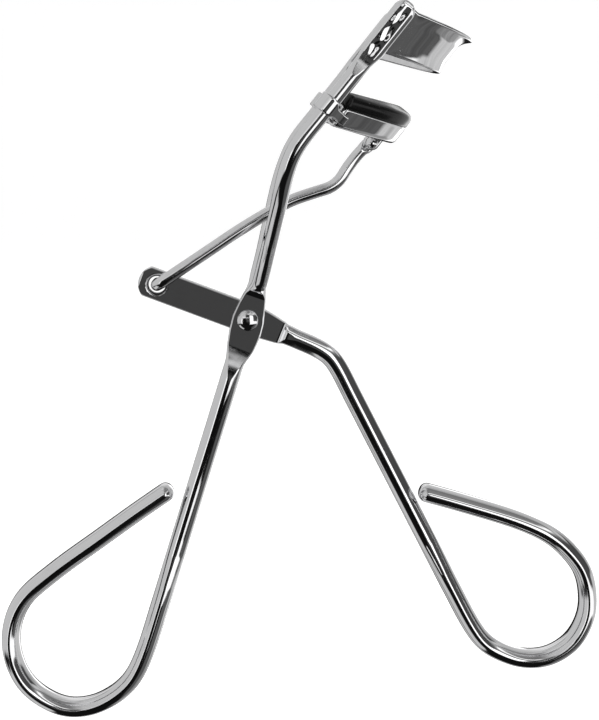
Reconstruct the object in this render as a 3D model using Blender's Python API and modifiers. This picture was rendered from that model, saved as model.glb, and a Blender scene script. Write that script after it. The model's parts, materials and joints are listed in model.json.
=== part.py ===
"""Eyelash curler with open finger loops, modelled in metres, +Z up.

Side view is the XZ plane and Y runs along the rivet. Two wires, bowed apart in Y, are the side rails of a
cage. The upper jaw bridges their flattened ends. The lower jaw slides along their straight stretch and is
pushed by a bent wire link, whose other end sits in the hole of the lever that handle B is forged into.

Places are given in two ways, both measured from the rivet's centre: (x, z) in the side view, and (s, t) in
the jaw's own axes, s along the straight rails towards the upper jaw and t across them, as the jaws bulge.
"""

import math
from dataclasses import dataclass

import bmesh
import bpy
from mathutils import Matrix, Vector

MM = 0.001

# Overall places
PIVOT = Vector((-7.47, 0.0, 60.73)) * MM  # rivet centre over the middle of the object's foot
JAW_TILT = math.radians(51.3)  # straight rails, above +X
RAIL_SPREAD = 15.2 * MM  # each straight rail's axis to the middle plane
RAIL_SETBACK = 10.4 * MM  # straight rails' axes behind the rivet, along -t
RAIL_STRAIGHT_START = 24.8 * MM  # s where the rails' bend ends
RAIL_RAMP_START = 36.0 * MM  # s where the round rail starts to flatten
RAIL_FLAT_START = 38.6 * MM
RAIL_END = 48.4 * MM
FAR_RAIL_BOW = 0.5 * MM  # the far rail's bend stands this much further back than the near one's

# Wires
HANDLE_WIRE = 2.8 * MM
RAIL_WIRE = 2.26 * MM
PUSHER_WIRE = 1.75 * MM
LOOP_DEPTH = 4.8 * MM  # finger loops are pressed wider than the wire along Y
LOOP_THICKNESS = 2.75 * MM
BLEND_LENGTH = 9.0 * MM  # from the round shank to the loop's section
TIP_LENGTH = 0.75 * MM

# Handle shanks and loops
SHANK_A_ANGLE = math.radians(252.8)
SHANK_A_LENGTH = 44.6 * MM  # rivet centre to the start of loop A
SHANK_A_NECK = 8.2 * MM  # rivet centre to the last round section
SHANK_A_LEAVES = 26.0 * MM  # here the shank starts to leave the middle plane
SHANK_A_ARRIVES = 9.0 * MM  # and here it is level with its flat
SHANK_B_START = Vector((13.2, -7.3)) * MM
SHANK_B_ANGLE = math.radians(297.1)
SHANK_B_LENGTH = 37.1 * MM
LOOP_A = [(-4.6, -12.2), (-9.1, -15.8), (-12.8, -16.75), (-15.8, -16.3), (-20.2, -13.3), (-22.35, -9.0),
          (-22.5, -4.2), (-20.7, 0.2), (-16.1, 4.4), (-8.9, 9.7), (-3.4, 13.7), (1.2, 16.9)]
LOOP_B = [(4.95, -8.5), (8.25, -10.6), (11.5, -11.5), (15.1, -11.1), (18.5, -8.8), (20.4, -5.2),
          (20.7, -1.8), (19.8, 2.2), (17.6, 5.3), (14.8, 7.7), (10.5, 9.8), (1.8, 12.6), (-4.1, 14.3)]

# Forged flats and the lever
FLAT_THICKNESS = 1.2 * MM
FLAT_CORNER = 0.35 * MM
LEVER_THICKNESS = 1.4 * MM
LEVER_WIDTH = 4.54 * MM
LEVER_ARM = 14.1 * MM  # rivet centre to the link hole's centre
LEVER_ANGLE = math.radians(159.3)
LEVER_END_RADIUS = 2.75 * MM  # round end, centred on the link hole
STACK_GAP = 0.3 * MM  # between the lever and the flats on each side

# Rivet
RIVET_SHANK = 1.8 * MM
RIVET_CLEARANCE = 0.2 * MM
RIVET_HEAD = 3.0 * MM
RIVET_HEAD_HEIGHT = 0.9 * MM
RIVET_TAIL = 2.7 * MM
RIVET_TAIL_HEIGHT = 0.5 * MM
HEAD_GAP = 0.2 * MM

# Pusher link and its pin
LINK_CLEARANCE = 0.36 * MM  # radial, in the lever's hole: takes up what the guided jaw and the arc differ by
COUNTERSINK = 3.0 * MM
COUNTERSINK_DEPTH = 0.45 * MM
ELBOW_RADIUS = 1.15 * MM
LINK_TAIL = 1.0 * MM  # how far the link's end stands out behind the lever
PIN_S = 31.0 * MM
PIN_T = -2.0 * MM
PIN_SHANK = 1.0 * MM
PIN_CLEARANCE = 0.15 * MM
PIN_HEAD = 1.5 * MM
PIN_HEAD_GAP = 0.15 * MM
EYE_WIDTH = 2.1 * MM
EYE_THICKNESS = 1.2 * MM
EYE_CORNER = 0.25 * MM
EYE_ROOT = 0.9 * MM  # the eye starts this far before the pin
EYE_GAP = 0.25 * MM
LINK_END_SHARE = 0.7  # end face of the link, as a share of the wire
LUG_THICKNESS = 0.55 * MM
LUG_WIDTH = 1.9 * MM
LUG_BITE = 0.3 * MM  # a lug's root reaches at least this near to the channel's middle line

# Jaws
JAW_ARC_HALF = math.radians(61.0)  # seen along s, from the middle of the jaw to each end of its arc
JAW_INSET = 2.343 * MM  # the arc's ends stand this far inside the rails' axes
JAW_AHEAD = 1.627 * MM  # and this far ahead of them along t
JAW_SLOPE = 0.43  # the closing edge climbs this much along s for each unit of t
UPPER_EDGE = 41.2 * MM  # s of the upper jaw's closing edge at its ears
UPPER_EAR_TOP = 47.9 * MM
UPPER_CREST = 50.9 * MM  # s of the upper jaw's lip in the middle
UPPER_SHEET = 0.6 * MM
LIP_FLARE = 1.15 * MM
LIP_HEIGHT = 2.0 * MM
EAR_LENGTH = 1.5 * MM
EAR_GAP = 0.3 * MM
JAW_OPENING = 6.9 * MM  # pad to upper edge at rest, along s
PAD_ABOVE_FLOOR = 5.1 * MM
CHANNEL_HEIGHT = 2.7 * MM
CHANNEL_WIDTH = 3.5 * MM
CHANNEL_SHEET = 0.45 * MM
CHANNEL_FOLD = 0.5 * MM  # radius between the floor and a wall
PAD_GAP = 0.2 * MM
PAD_INSET = 0.05 * MM  # the head's sides stand this far inside the channel walls' outer faces
PAD_SHOULDER = 0.5 * MM
SLEEVE_S = 31.05 * MM
SLEEVE_LENGTH = 2.0 * MM
SLEEVE_CLEARANCE = 0.2 * MM
SLEEVE_SHEET = 0.42 * MM
TAB_HEIGHT = 1.6 * MM
TAB_LENGTH = 1.5 * MM

# Outlines
LEAF = [(-1.68, -5.5, 1.52), (-1.05, -4.0, 1.98), (-0.45, -2.0, 2.3), (0.05, 0.0, 2.3), (0.62, 2.0, 1.95),
        (1.2, 3.7, 1.5)]  # flat at the rivet, from the shank side up: x, z, half width
LEAF_HALF = 2.3
FAR_LEAF_FOOT = [(-0.884, -3.55, 0.6), (-0.814, -3.3, 1.3), (-0.674, -2.8, 1.9)]  # the far flat's round foot
FAR_LEAF_FIRST = 2  # the first row of the leaf that the far flat shares
RAIL_BEND = [(1.95, 5.4, 0.03), (2.7, 9.0, 0.23), (3.4, 12.1, 0.45), (4.1, 15.2, 0.65), (4.6, 17.4, 0.78),
             (5.0, 19.4, 0.87), (5.5, 21.6, 0.94), (6.25, 23.8, 0.985)]  # x, z, share of the way out along Y
LEVER_BEND = [(12.1, -5.75), (10.5, -4.6), (8.6, -3.7), (6.6, -2.85)]  # from the shank to the forged step
LEVER_STATIONS = [(-5.15, 0.72, 0.3), (-2.6, 0.93, 0.12), (-0.6, 1.0, 0.0)]  # along, share of width, drop
LEVER_NECK = (-5.65, 0.25)  # last section before the forged step: along, drop
PUSHER_RUN = [(-9.36, 7.52), (-6.6, 9.35), (-1.8, 12.55), (2.4, 15.1), (6.4, 17.2), (9.9, 18.4), (12.0, 19.1),
              (13.3, 20.1), (14.3, 21.6), (15.4, 23.1), (16.5, 24.35)]

# Working values
LEVER_HALF = LEVER_THICKNESS / 2
FLAT_Y = LEVER_HALF + STACK_GAP + FLAT_THICKNESS / 2
RAIL_END_HALF_WIDTH = 1.2 * MM
RAIL_END_HALF_DEPTH = 0.8 * MM
RAIL_END_CORNER = 0.45 * MM
JAW_ARC_RADIUS = (RAIL_SPREAD - JAW_INSET) / math.sin(JAW_ARC_HALF)  # upper plate's middle surface
EAR_T = JAW_AHEAD - RAIL_SETBACK  # t of the arc's ends
JAW_ARC_CENTRE = EAR_T - JAW_ARC_RADIUS * math.cos(JAW_ARC_HALF)  # t of the arc's centre
STEP = 2.4 * MM  # spacing of sections along a free-form wire
CORNER_ANGLES = [math.radians(a) for a in (15, 45, 75)]

CHROME = ("chrome", (0.72, 0.72, 0.73, 1.0), 1.0, 0.08)
RUBBER = ("black_pad", (0.012, 0.012, 0.013, 1.0), 0.0, 0.25)


@dataclass
class Station:
    """One section of a swept wire: its centre, half sizes across in the side view and deep, and corner."""

    centre: Vector
    across: float
    deep: float
    corner: float


def clear_scene():
    for obj in list(bpy.data.objects):
        bpy.data.objects.remove(obj, do_unlink=True)


def make_collection(name):
    collection = bpy.data.collections.new(name)
    bpy.context.scene.collection.children.link(collection)
    return collection


def make_material(name, colour, metallic, roughness):
    material = bpy.data.materials.get(name)
    if material:
        return material
    material = bpy.data.materials.new(name)
    material.use_nodes = True
    shader = material.node_tree.nodes["Principled BSDF"]
    shader.inputs["Base Color"].default_value = colour
    shader.inputs["Metallic"].default_value = metallic
    shader.inputs["Roughness"].default_value = roughness
    return material


def side_point(x, z, y=0.0):
    """A point of the side view, measured from the rivet's centre."""
    return PIVOT + Vector((x, y, z))


def jaw_axes():
    along = Vector((math.cos(JAW_TILT), 0.0, math.sin(JAW_TILT)))
    across = Vector((math.sin(JAW_TILT), 0.0, -math.cos(JAW_TILT)))
    return along, across


def jaw_point(s, t, y=0.0):
    """A point in the jaw's axes, measured from the rivet's centre."""
    along, across = jaw_axes()
    return PIVOT + along * s + across * t + Vector((0.0, y, 0.0))


def polar(length, angle):
    return Vector((length * math.cos(angle), length * math.sin(angle)))


def closing_s(t):
    """s of the closing edge at t; the ears' stretch stays level."""
    return UPPER_EDGE + JAW_SLOPE * (max(t, EAR_T) - EAR_T)


def smooth(points, step):
    """A Catmull-Rom curve through the points, with a point about every step."""
    ends = [points[0] * 2 - points[1]] + list(points) + [points[-1] * 2 - points[-2]]
    route = []
    for before, start, end, after in zip(ends, ends[1:], ends[2:], ends[3:]):
        count = max(1, round((end - start).length / step))
        for i in range(count):
            u = i / count
            route.append(0.5 * (2 * start + (end - before) * u
                                + (2 * before - 5 * start + 4 * end - after) * u**2
                                + (3 * start - before - 3 * end + after) * u**3))
    return route + [points[-1].copy()]


def place_on(obj, holder):
    """Parents an object whose mesh is in world coordinates to an empty, with its origin on the empty."""
    obj.data.transform(Matrix.Translation(-holder.location))
    obj.parent = holder
    return obj


def make_holder(name, location, collection):
    holder = bpy.data.objects.new(name, None)
    holder.location = location
    collection.objects.link(holder)
    return holder


def mesh_from_rings(name, rings, collection, look):
    """A closed mesh from rings of equal length, the first and last capped."""
    mesh = bpy.data.meshes.new(name)
    shape = bmesh.new()
    rows = [[shape.verts.new(p) for p in ring] for ring in rings]
    size = len(rings[0])
    for low, high in zip(rows, rows[1:]):
        for i in range(size):
            shape.faces.new((low[i], low[(i + 1) % size], high[(i + 1) % size], high[i]))
    shape.faces.new(rows[0])
    shape.faces.new(rows[-1])
    bmesh.ops.recalc_face_normals(shape, faces=shape.faces)
    shape.to_mesh(mesh)
    shape.free()
    return add_object(name, mesh, collection, look)


def add_object(name, mesh, collection, look=None):
    obj = bpy.data.objects.new(name, mesh)
    collection.objects.link(obj)
    if look:
        mesh.materials.append(make_material(*look))
        mesh.shade_smooth()
        mesh.set_sharp_from_angle(angle=math.radians(40))
    return obj


def section_ring(station, tangent):
    """A rounded rectangle square to the tangent, 3 points to a corner; a circle if its sizes are equal."""
    side = tangent.cross(Vector((0.0, 1.0, 0.0))).normalized()
    deep = side.cross(tangent).normalized()
    grow = 1 / math.cos(CORNER_ANGLES[0])
    corner = min(station.corner, station.across, station.deep)
    ring = []
    for quarter in range(4):
        turn = quarter * math.pi / 2
        sign_a = 1 if quarter in (0, 3) else -1
        sign_d = 1 if quarter in (0, 1) else -1
        middle = (side * sign_a * (station.across - corner) + deep * sign_d * (station.deep - corner))
        for angle in CORNER_ANGLES:
            reach = side * math.cos(turn + angle) + deep * math.sin(turn + angle)
            ring.append(station.centre + middle + reach * corner * grow)
    return ring


def sweep(name, stations, collection, look):
    rings = []
    for i, station in enumerate(stations):
        before = stations[max(i - 1, 0)].centre
        after = stations[min(i + 1, len(stations) - 1)].centre
        rings.append(section_ring(station, (after - before).normalized()))
    return mesh_from_rings(name, rings, collection, look)


def blunt_tip(station, outward, length):
    """Sections that round off a wire's end, from the end face back to the full section."""
    tip = []
    for angle in (80, 62, 40, 20):
        turn = math.radians(angle)
        shrink = math.cos(turn) ** 0.75
        tip.append(Station(station.centre + outward * length * math.sin(turn), station.across * shrink,
                           station.deep * shrink, station.corner * shrink))
    return tip


def loop_stations(offsets, start, shank_end):
    """Finger loop from its tip to the shank, its section easing from the pressed loop to the round wire."""
    corners = [side_point(*(start + Vector(o) * MM)) for o in reversed(offsets)]
    corners.append(side_point(*start))
    corners.append(side_point(*shank_end))
    route = smooth(corners, STEP)
    left = sum((b - a).length for a, b in zip(route, route[1:]))
    straight = (corners[-1] - corners[-2]).length
    stations = []
    for i, point in enumerate(route):
        if i:
            left -= (point - route[i - 1]).length
        share = min(max((left - straight) / BLEND_LENGTH + 0.5, 0.0), 1.0)
        share = share * share * (3 - 2 * share)
        across = (HANDLE_WIRE + (LOOP_THICKNESS - HANDLE_WIRE) * share) / 2
        deep = (HANDLE_WIRE + (LOOP_DEPTH - HANDLE_WIRE) * share) / 2
        stations.append(Station(point, across, deep, across))
    outward = (stations[0].centre - stations[1].centre).normalized()
    return blunt_tip(stations[0], outward, TIP_LENGTH) + stations


def shift_in_y(stations, first, last, target):
    """Eases the centres from the middle plane to y = target between two distances from the rivet."""
    for station in stations:
        reach = (station.centre - PIVOT).length
        share = min(max((first - reach) / (first - last), 0.0), 1.0)
        station.centre.y = target * share * share * (3 - 2 * share)


def leaf_stations(y):
    """Sections of the forged flat at the rivet, from the shank side up to the rail side."""
    return [Station(side_point(x * MM, z * MM, y), half * MM, FLAT_THICKNESS / 2, FLAT_CORNER)
            for x, z, half in LEAF]


def rail_stations(side):
    """A rail from above the rivet's flat to its flattened end; side is -1 for the near one, 1 for the far."""
    flat_y = side * FLAT_Y
    bow = FAR_RAIL_BOW if side > 0 else 0.0
    route = []
    for x, z, share in RAIL_BEND:
        back = bow * min(1.0, 6 * (1 - share))
        route.append(side_point(x * MM - back, z * MM, flat_y + (side * RAIL_SPREAD - flat_y) * share))
    route.append(jaw_point(RAIL_STRAIGHT_START, -RAIL_SETBACK, side * RAIL_SPREAD))
    route.append(jaw_point(RAIL_STRAIGHT_START + 2 * STEP, -RAIL_SETBACK, side * RAIL_SPREAD))
    radius = RAIL_WIRE / 2
    stations = [Station(p, radius, radius, radius) for p in smooth(route, STEP)]

    def straight(s, across, deep, corner):
        stations.append(Station(jaw_point(s, -RAIL_SETBACK, side * RAIL_SPREAD), across, deep, corner))

    straight(RAIL_RAMP_START, radius, radius, radius)
    straight(RAIL_FLAT_START, RAIL_END_HALF_WIDTH, RAIL_END_HALF_DEPTH, RAIL_END_CORNER)
    for turn in (0, 30, 55, 75):
        angle = math.radians(turn)
        across = max(RAIL_END_HALF_WIDTH * math.cos(angle), 0.3 * MM)
        straight(RAIL_END - RAIL_END_HALF_WIDTH * (1 - math.sin(angle)), across, RAIL_END_HALF_DEPTH,
                 RAIL_END_CORNER * math.cos(angle))
    return stations


def cutter_cylinder(name, centre, axis, radius, length, collection, top_radius=None, sides=32):
    """A straight or tapered cutter along an axis, which points to the end with top_radius."""
    mesh = bpy.data.meshes.new(name)
    shape = bmesh.new()
    bmesh.ops.create_cone(shape, cap_ends=True, segments=sides, radius1=radius, radius2=top_radius or radius,
                          depth=length)
    turn = Vector((0.0, 0.0, 1.0)).rotation_difference(axis)
    place = Matrix.Translation(centre) @ turn.to_matrix().to_4x4()
    bmesh.ops.transform(shape, matrix=place, verts=shape.verts)
    shape.to_mesh(mesh)
    shape.free()
    cutter = add_object(name, mesh, collection)
    cutter.hide_render = True
    cutter.display_type = "WIRE"
    return cutter


def boolean(obj, other, operation):
    modifier = obj.modifiers.new(other.name, "BOOLEAN")
    modifier.operation = operation
    modifier.object = other
    modifier.solver = "EXACT"


def turned(name, profile, centre, collection, look, steps=24):
    """A turned piece: a profile of (radius, y), from the -Y end to the +Y end, goes round the Y axis."""
    mesh = bpy.data.meshes.new(name)
    mesh.from_pydata([(r, 0.0, -y) for r, y in profile], [(i, i + 1) for i in range(len(profile) - 1)], [])
    obj = add_object(name, mesh, collection, look)
    screw = obj.modifiers.new("turn", "SCREW")
    screw.axis = "Z"
    screw.steps = screw.render_steps = steps
    screw.use_merge_vertices = True
    screw.merge_threshold = 0.00001
    screw.use_smooth_shade = True
    obj.rotation_euler = (math.pi / 2, 0.0, 0.0)
    obj.location = centre
    return obj


def dome(radius, height, y, direction, count=5):
    """Profile points of a dome whose flat side is at y: from its rim to its pole."""
    points = []
    for i in range(count + 1):
        angle = i / count * math.pi / 2
        points.append((radius * math.cos(angle), y + direction * height * math.sin(angle)))
    points[-1] = (0.0, points[-1][1])
    return points


def make_near_arm(parts, cutters):
    start = polar(SHANK_A_LENGTH, SHANK_A_ANGLE)
    neck = polar(SHANK_A_NECK, SHANK_A_ANGLE)
    stations = loop_stations(LOOP_A, start, neck)
    shift_in_y(stations, SHANK_A_LEAVES, SHANK_A_ARRIVES, -FLAT_Y)
    stations += leaf_stations(-FLAT_Y) + rail_stations(-1)
    arm = sweep("near_arm", stations, parts, CHROME)
    boolean(arm, rivet_hole("near_arm_hole", -FLAT_Y, cutters), "DIFFERENCE")
    return arm


def make_far_rail(parts, cutters):
    stations = []
    for x, z, half in FAR_LEAF_FOOT:
        centre = side_point(x * MM, z * MM, FLAT_Y)
        stations.append(Station(centre, half * MM, FLAT_THICKNESS / 2, FLAT_CORNER * half / LEAF_HALF))
    stations += leaf_stations(FLAT_Y)[FAR_LEAF_FIRST:] + rail_stations(1)
    rail = sweep("far_rail", stations, parts, CHROME)
    boolean(rail, rivet_hole("far_rail_hole", FLAT_Y, cutters), "DIFFERENCE")
    return rail


def rivet_hole(name, y, cutters):
    centre = PIVOT + Vector((0.0, y, 0.0))
    return cutter_cylinder(name, centre, Vector((0, -1, 0)), RIVET_SHANK / 2 + RIVET_CLEARANCE,
                           2 * FLAT_THICKNESS + LEVER_THICKNESS, cutters)


def make_lever_handle(parts, cutters):
    start = SHANK_B_START + polar(SHANK_B_LENGTH, SHANK_B_ANGLE)
    stations = loop_stations(LOOP_B, start, SHANK_B_START)
    radius = HANDLE_WIRE / 2
    stations += [Station(side_point(x * MM, z * MM), radius, radius, radius) for x, z in LEVER_BEND]
    outward = polar(1.0, LEVER_ANGLE)

    def along_lever(distance, across, deep=LEVER_HALF, corner=FLAT_CORNER, drop=0.0):
        centre = side_point(*(outward * distance)) - Vector((0, 0, drop))
        stations.append(Station(centre, across, deep, corner))

    along_lever(LEVER_NECK[0] * MM, radius * 1.08, radius * 0.95, radius * 0.9, LEVER_NECK[1] * MM)
    half = LEVER_WIDTH / 2
    for distance, share, drop in LEVER_STATIONS:
        along_lever(distance * MM, half * share, drop=drop * MM)
    corner_reach = math.sqrt(LEVER_END_RADIUS**2 - half**2)
    along_lever(LEVER_ARM + corner_reach, half)
    for share in (0.45, 0.75, 0.93, 0.995):
        reach = corner_reach + (LEVER_END_RADIUS - corner_reach) * share
        across = math.sqrt(max(LEVER_END_RADIUS**2 - reach**2, 0.0))
        along_lever(LEVER_ARM + reach, across, corner=min(FLAT_CORNER, across * 0.8))
    lever = sweep("lever_handle", stations, parts, CHROME)
    boolean(lever, rivet_hole("lever_pivot_hole", 0.0, cutters), "DIFFERENCE")
    hole = link_hole_centre()
    near = Vector((0, -1, 0))
    radius = PUSHER_WIRE / 2 + LINK_CLEARANCE
    bore = cutter_cylinder("lever_link_hole", hole, near, radius, 3 * LEVER_THICKNESS, cutters)
    boolean(lever, bore, "DIFFERENCE")
    sink_length = COUNTERSINK_DEPTH * 2
    slope = (COUNTERSINK / 2 - radius) / COUNTERSINK_DEPTH
    sink = cutter_cylinder("lever_countersink", hole + near * LEVER_HALF, near, radius, sink_length, cutters,
                           top_radius=radius + slope * sink_length)
    boolean(lever, sink, "DIFFERENCE")
    return lever


def link_hole_centre():
    return side_point(*polar(LEVER_ARM, LEVER_ANGLE))


def make_pivot_rivet(parts):
    reach = FLAT_Y + FLAT_THICKNESS / 2 + HEAD_GAP
    shank = RIVET_SHANK / 2
    head = dome(RIVET_HEAD / 2, RIVET_HEAD_HEIGHT * 0.8, -reach - RIVET_HEAD_HEIGHT * 0.2, -1)
    tail = dome(RIVET_TAIL / 2, RIVET_TAIL_HEIGHT, reach, 1)
    profile = list(reversed(head)) + [(RIVET_HEAD / 2, -reach), (shank, -reach), (shank, reach)] + tail
    return turned("pivot_rivet", profile, PIVOT, parts, CHROME)


def pin_centre():
    return jaw_point(PIN_S, PIN_T)


def make_pusher_link(parts, cutters):
    radius = PUSHER_WIRE / 2
    hole = link_hole_centre()
    run_y = -(LEVER_HALF + radius + STACK_GAP)
    bent = [side_point(x * MM, z * MM) for x, z in PUSHER_RUN]
    outgoing = (bent[0] - hole).normalized()
    tail_y = LEVER_HALF + LINK_TAIL
    route = [hole + Vector((0, y, 0)) for y in (tail_y, 0.0, run_y + ELBOW_RADIUS)]
    for turn in (30, 60, 90):
        angle = math.radians(turn)
        route.append(hole + Vector((0, run_y + ELBOW_RADIUS * (1 - math.sin(angle)), 0))
                     + outgoing * ELBOW_RADIUS * (1 - math.cos(angle)))
    elbow_end = len(route)
    reach = [(p - hole).length for p in bent]
    for point, distance in zip(bent, reach):
        point.y = run_y * max(0.0, 1 - (distance - reach[0]) / (reach[-2] - reach[0]))
    run = smooth([route[-1]] + bent, STEP)
    stations = [Station(p, radius, radius, radius) for p in route[:elbow_end] + run[1:]]
    end = radius * LINK_END_SHARE
    stations.insert(0, Station(route[0] + Vector((0, radius / 3, 0)), end, end, end))
    pin = pin_centre()
    approach = (pin - bent[-1])
    approach.y = 0
    approach.normalize()
    deep = EYE_THICKNESS / 2
    stations.append(Station(pin - approach * EYE_ROOT, EYE_WIDTH / 2, deep, EYE_CORNER))
    for turn in (0, 35, 60, 78):
        angle = math.radians(turn)
        across = EYE_WIDTH / 2 * math.cos(angle)
        centre = pin + approach * EYE_WIDTH / 2 * math.sin(angle)
        stations.append(Station(centre, across, deep, min(EYE_CORNER, across * 0.8)))
    link = sweep("pusher_link", stations, parts, CHROME)
    hole = cutter_cylinder("pusher_eye_hole", pin, Vector((0, -1, 0)), PIN_SHANK / 2 + PIN_CLEARANCE,
                           3 * EYE_THICKNESS, cutters)
    boolean(link, hole, "DIFFERENCE")
    return link


def lug_y():
    return EYE_THICKNESS / 2 + EYE_GAP + LUG_THICKNESS / 2


def make_hinge_pin(parts):
    reach = lug_y() + LUG_THICKNESS / 2 + PIN_HEAD_GAP
    shank = PIN_SHANK / 2
    near = [(PIN_HEAD / 2 * math.sin(a), -reach - PIN_HEAD / 2 * (0.75 + math.cos(a)))
            for a in (math.radians(d) for d in (0, 30, 60, 90, 115, 138))]
    far = dome(PIN_HEAD / 2, PIN_HEAD * 0.35, reach, 1, count=4)
    profile = near + [(shank, -reach), (shank, reach)] + far
    return turned("hinge_pin", profile, pin_centre(), parts, CHROME, steps=20)


def arc_point(radius, angle, s):
    """A point on a circle about the jaws' arc centre, seen along s; angle 0 is the middle of the jaw."""
    return jaw_point(s, JAW_ARC_CENTRE + radius * math.cos(angle), radius * math.sin(angle))


def grid_object(name, rows, thickness, collection, look):
    """An open grid of points made solid with an even wall about it."""
    mesh = bpy.data.meshes.new(name)
    width = len(rows[0])
    faces = [(r * width + c, r * width + c + 1, (r + 1) * width + c + 1, (r + 1) * width + c)
             for r in range(len(rows) - 1) for c in range(width - 1)]
    mesh.from_pydata([tuple(p) for row in rows for p in row], [], faces)
    obj = add_object(name, mesh, collection, look)
    wall = obj.modifiers.new("sheet", "SOLIDIFY")
    wall.thickness = thickness
    wall.offset = 0.0
    wall.use_even_offset = True
    return obj


def upper_plan():
    """The upper plate's middle line seen along s, from ear to ear, as (t, y, share of the crest)."""
    ear_y = RAIL_SPREAD - RAIL_END_HALF_DEPTH - EAR_GAP - UPPER_SHEET / 2
    half = []
    count = 12
    for i in range(count + 1):
        angle = JAW_ARC_HALF * i / count
        half.append((JAW_ARC_CENTRE + JAW_ARC_RADIUS * math.cos(angle), JAW_ARC_RADIUS * math.sin(angle),
                     math.cos(angle * math.pi / 2 / JAW_ARC_HALF)))
    bend_t = half[-1][0] - (ear_y - half[-1][1]) * 1.35
    half.append((bend_t, ear_y, 0.0))
    half.append((bend_t - EAR_LENGTH, ear_y, 0.0))
    return [(t, -y, share) for t, y, share in reversed(half)] + half[1:]


def make_upper_jaw(parts):
    rows = []
    for t, y, share in upper_plan():
        low = closing_s(t)
        high = UPPER_EAR_TOP + (UPPER_CREST - UPPER_EAR_TOP) * share
        outward = Vector((math.cos(math.asin(max(-1.0, min(1.0, y / JAW_ARC_RADIUS)))), y / JAW_ARC_RADIUS))
        row = []
        for s in (low, low + 0.4 * (high - LIP_HEIGHT - low), high - LIP_HEIGHT, high - LIP_HEIGHT * 0.55,
                  high - LIP_HEIGHT * 0.2, high):
            rise = max(0.0, 1 - (high - s) / LIP_HEIGHT)
            flare = LIP_FLARE * share * rise**1.8
            row.append(jaw_point(s, t + outward.x * flare, y + outward.y * flare))
        rows.append(row)
    return grid_object("upper_jaw", rows, UPPER_SHEET, parts, CHROME)


def channel_floor(angle):
    """s of the channel's underside at an angle round the arc."""
    t = JAW_ARC_CENTRE + JAW_ARC_RADIUS * math.cos(angle)
    return closing_s(t) - JAW_OPENING - PAD_ABOVE_FLOOR


def make_lower_jaw(parts, cutters):
    rows = []
    count = 22
    half = (CHANNEL_WIDTH - CHANNEL_SHEET) / 2
    fold = CHANNEL_FOLD
    for i in range(count + 1):
        angle = JAW_ARC_HALF * (2 * i / count - 1)
        floor = channel_floor(angle) + CHANNEL_SHEET / 2
        rim = floor + CHANNEL_HEIGHT
        side = [(half - fold, floor), (half - fold * 0.3, floor + fold * 0.3), (half, floor + fold)]
        side.append((half, rim))
        section = [(-n, s) for n, s in reversed(side)] + side
        rows.append([arc_point(JAW_ARC_RADIUS + n, angle, s) for n, s in section])
    jaw = grid_object("lower_jaw", rows, CHANNEL_SHEET, parts, CHROME)
    for side, label in ((-1, "near"), (1, "far")):
        boolean(jaw, make_lug(f"{label}_lug", side * lug_y(), cutters), "UNION")
        centre = pin_centre() + Vector((0, side * lug_y(), 0))
        hole = cutter_cylinder(f"{label}_lug_hole", centre, Vector((0, -1, 0)),
                               PIN_SHANK / 2 + PIN_CLEARANCE * 0.7, 3 * LUG_THICKNESS, cutters, sides=24)
        boolean(jaw, hole, "DIFFERENCE")
    return jaw


def make_lug(name, y, cutters):
    """A lug folded down from the channel's floor and round about the pin: an outline given its thickness."""
    top = channel_floor(0.0) + CHANNEL_SHEET * 0.6
    radius = LUG_WIDTH / 2
    apex = JAW_ARC_CENTRE + JAW_ARC_RADIUS
    outline = [(top, max(PIN_T + radius, apex - LUG_BITE))]
    outline += [(PIN_S - radius * math.sin(a), PIN_T + radius * math.cos(a))
                for a in (math.radians(d) for d in range(0, 181, 30))]
    outline.append((top, min(PIN_T - radius, apex + LUG_BITE)))
    mesh = bpy.data.meshes.new(name)
    shape = bmesh.new()
    face = shape.faces.new([shape.verts.new(jaw_point(s, t, y - LUG_THICKNESS / 2)) for s, t in outline])
    grown = bmesh.ops.extrude_face_region(shape, geom=[face])["geom"]
    bmesh.ops.translate(shape, verts=[v for v in grown if isinstance(v, bmesh.types.BMVert)],
                        vec=(0, LUG_THICKNESS, 0))
    bmesh.ops.recalc_face_normals(shape, faces=shape.faces)
    shape.to_mesh(mesh)
    shape.free()
    lug = add_object(name, mesh, cutters)
    lug.hide_render = True
    lug.display_type = "WIRE"
    return lug


def make_jaw_pad(parts):
    """Black pad: a stem inside the channel and a crowned head over its rims, rounded at both ends."""
    stem = CHANNEL_WIDTH / 2 - CHANNEL_SHEET - PAD_GAP
    head = CHANNEL_WIDTH / 2 - PAD_INSET
    base = CHANNEL_SHEET + PAD_GAP
    rim = CHANNEL_SHEET / 2 + CHANNEL_HEIGHT + PAD_GAP
    top = PAD_ABOVE_FLOOR
    half = [(stem, base), (stem, rim), (head * 0.96, rim), (head, rim + PAD_SHOULDER),
            (head * 0.97, top - PAD_SHOULDER * 1.5), (head * 0.8, top - PAD_SHOULDER * 0.5),
            (head * 0.45, top)]
    section = half + [(-n, h) for n, h in reversed(half)]
    middle = (rim + top) / 2

    def ring(angle, shrink=1.0):
        """The section at an angle, its head drawn in towards its middle and its stem towards the rim."""
        floor = channel_floor(max(-JAW_ARC_HALF, min(angle, JAW_ARC_HALF)))
        points = []
        for n, h in section:
            pull = middle if h > base else rim
            points.append(arc_point(JAW_ARC_RADIUS + n * shrink, angle, floor + pull + (h - pull) * shrink))
        return points

    count = 22
    ends = ((0.02, 0.93), (0.035, 0.78), (0.045, 0.55))  # angle past the arc's end, size
    rings = [ring(-JAW_ARC_HALF - lean, shrink) for lean, shrink in reversed(ends)]
    rings += [ring(JAW_ARC_HALF * (2 * i / count - 1)) for i in range(count + 1)]
    rings += [ring(JAW_ARC_HALF + lean, shrink) for lean, shrink in ends]
    return mesh_from_rings("jaw_pad", rings, parts, RUBBER)


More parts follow.
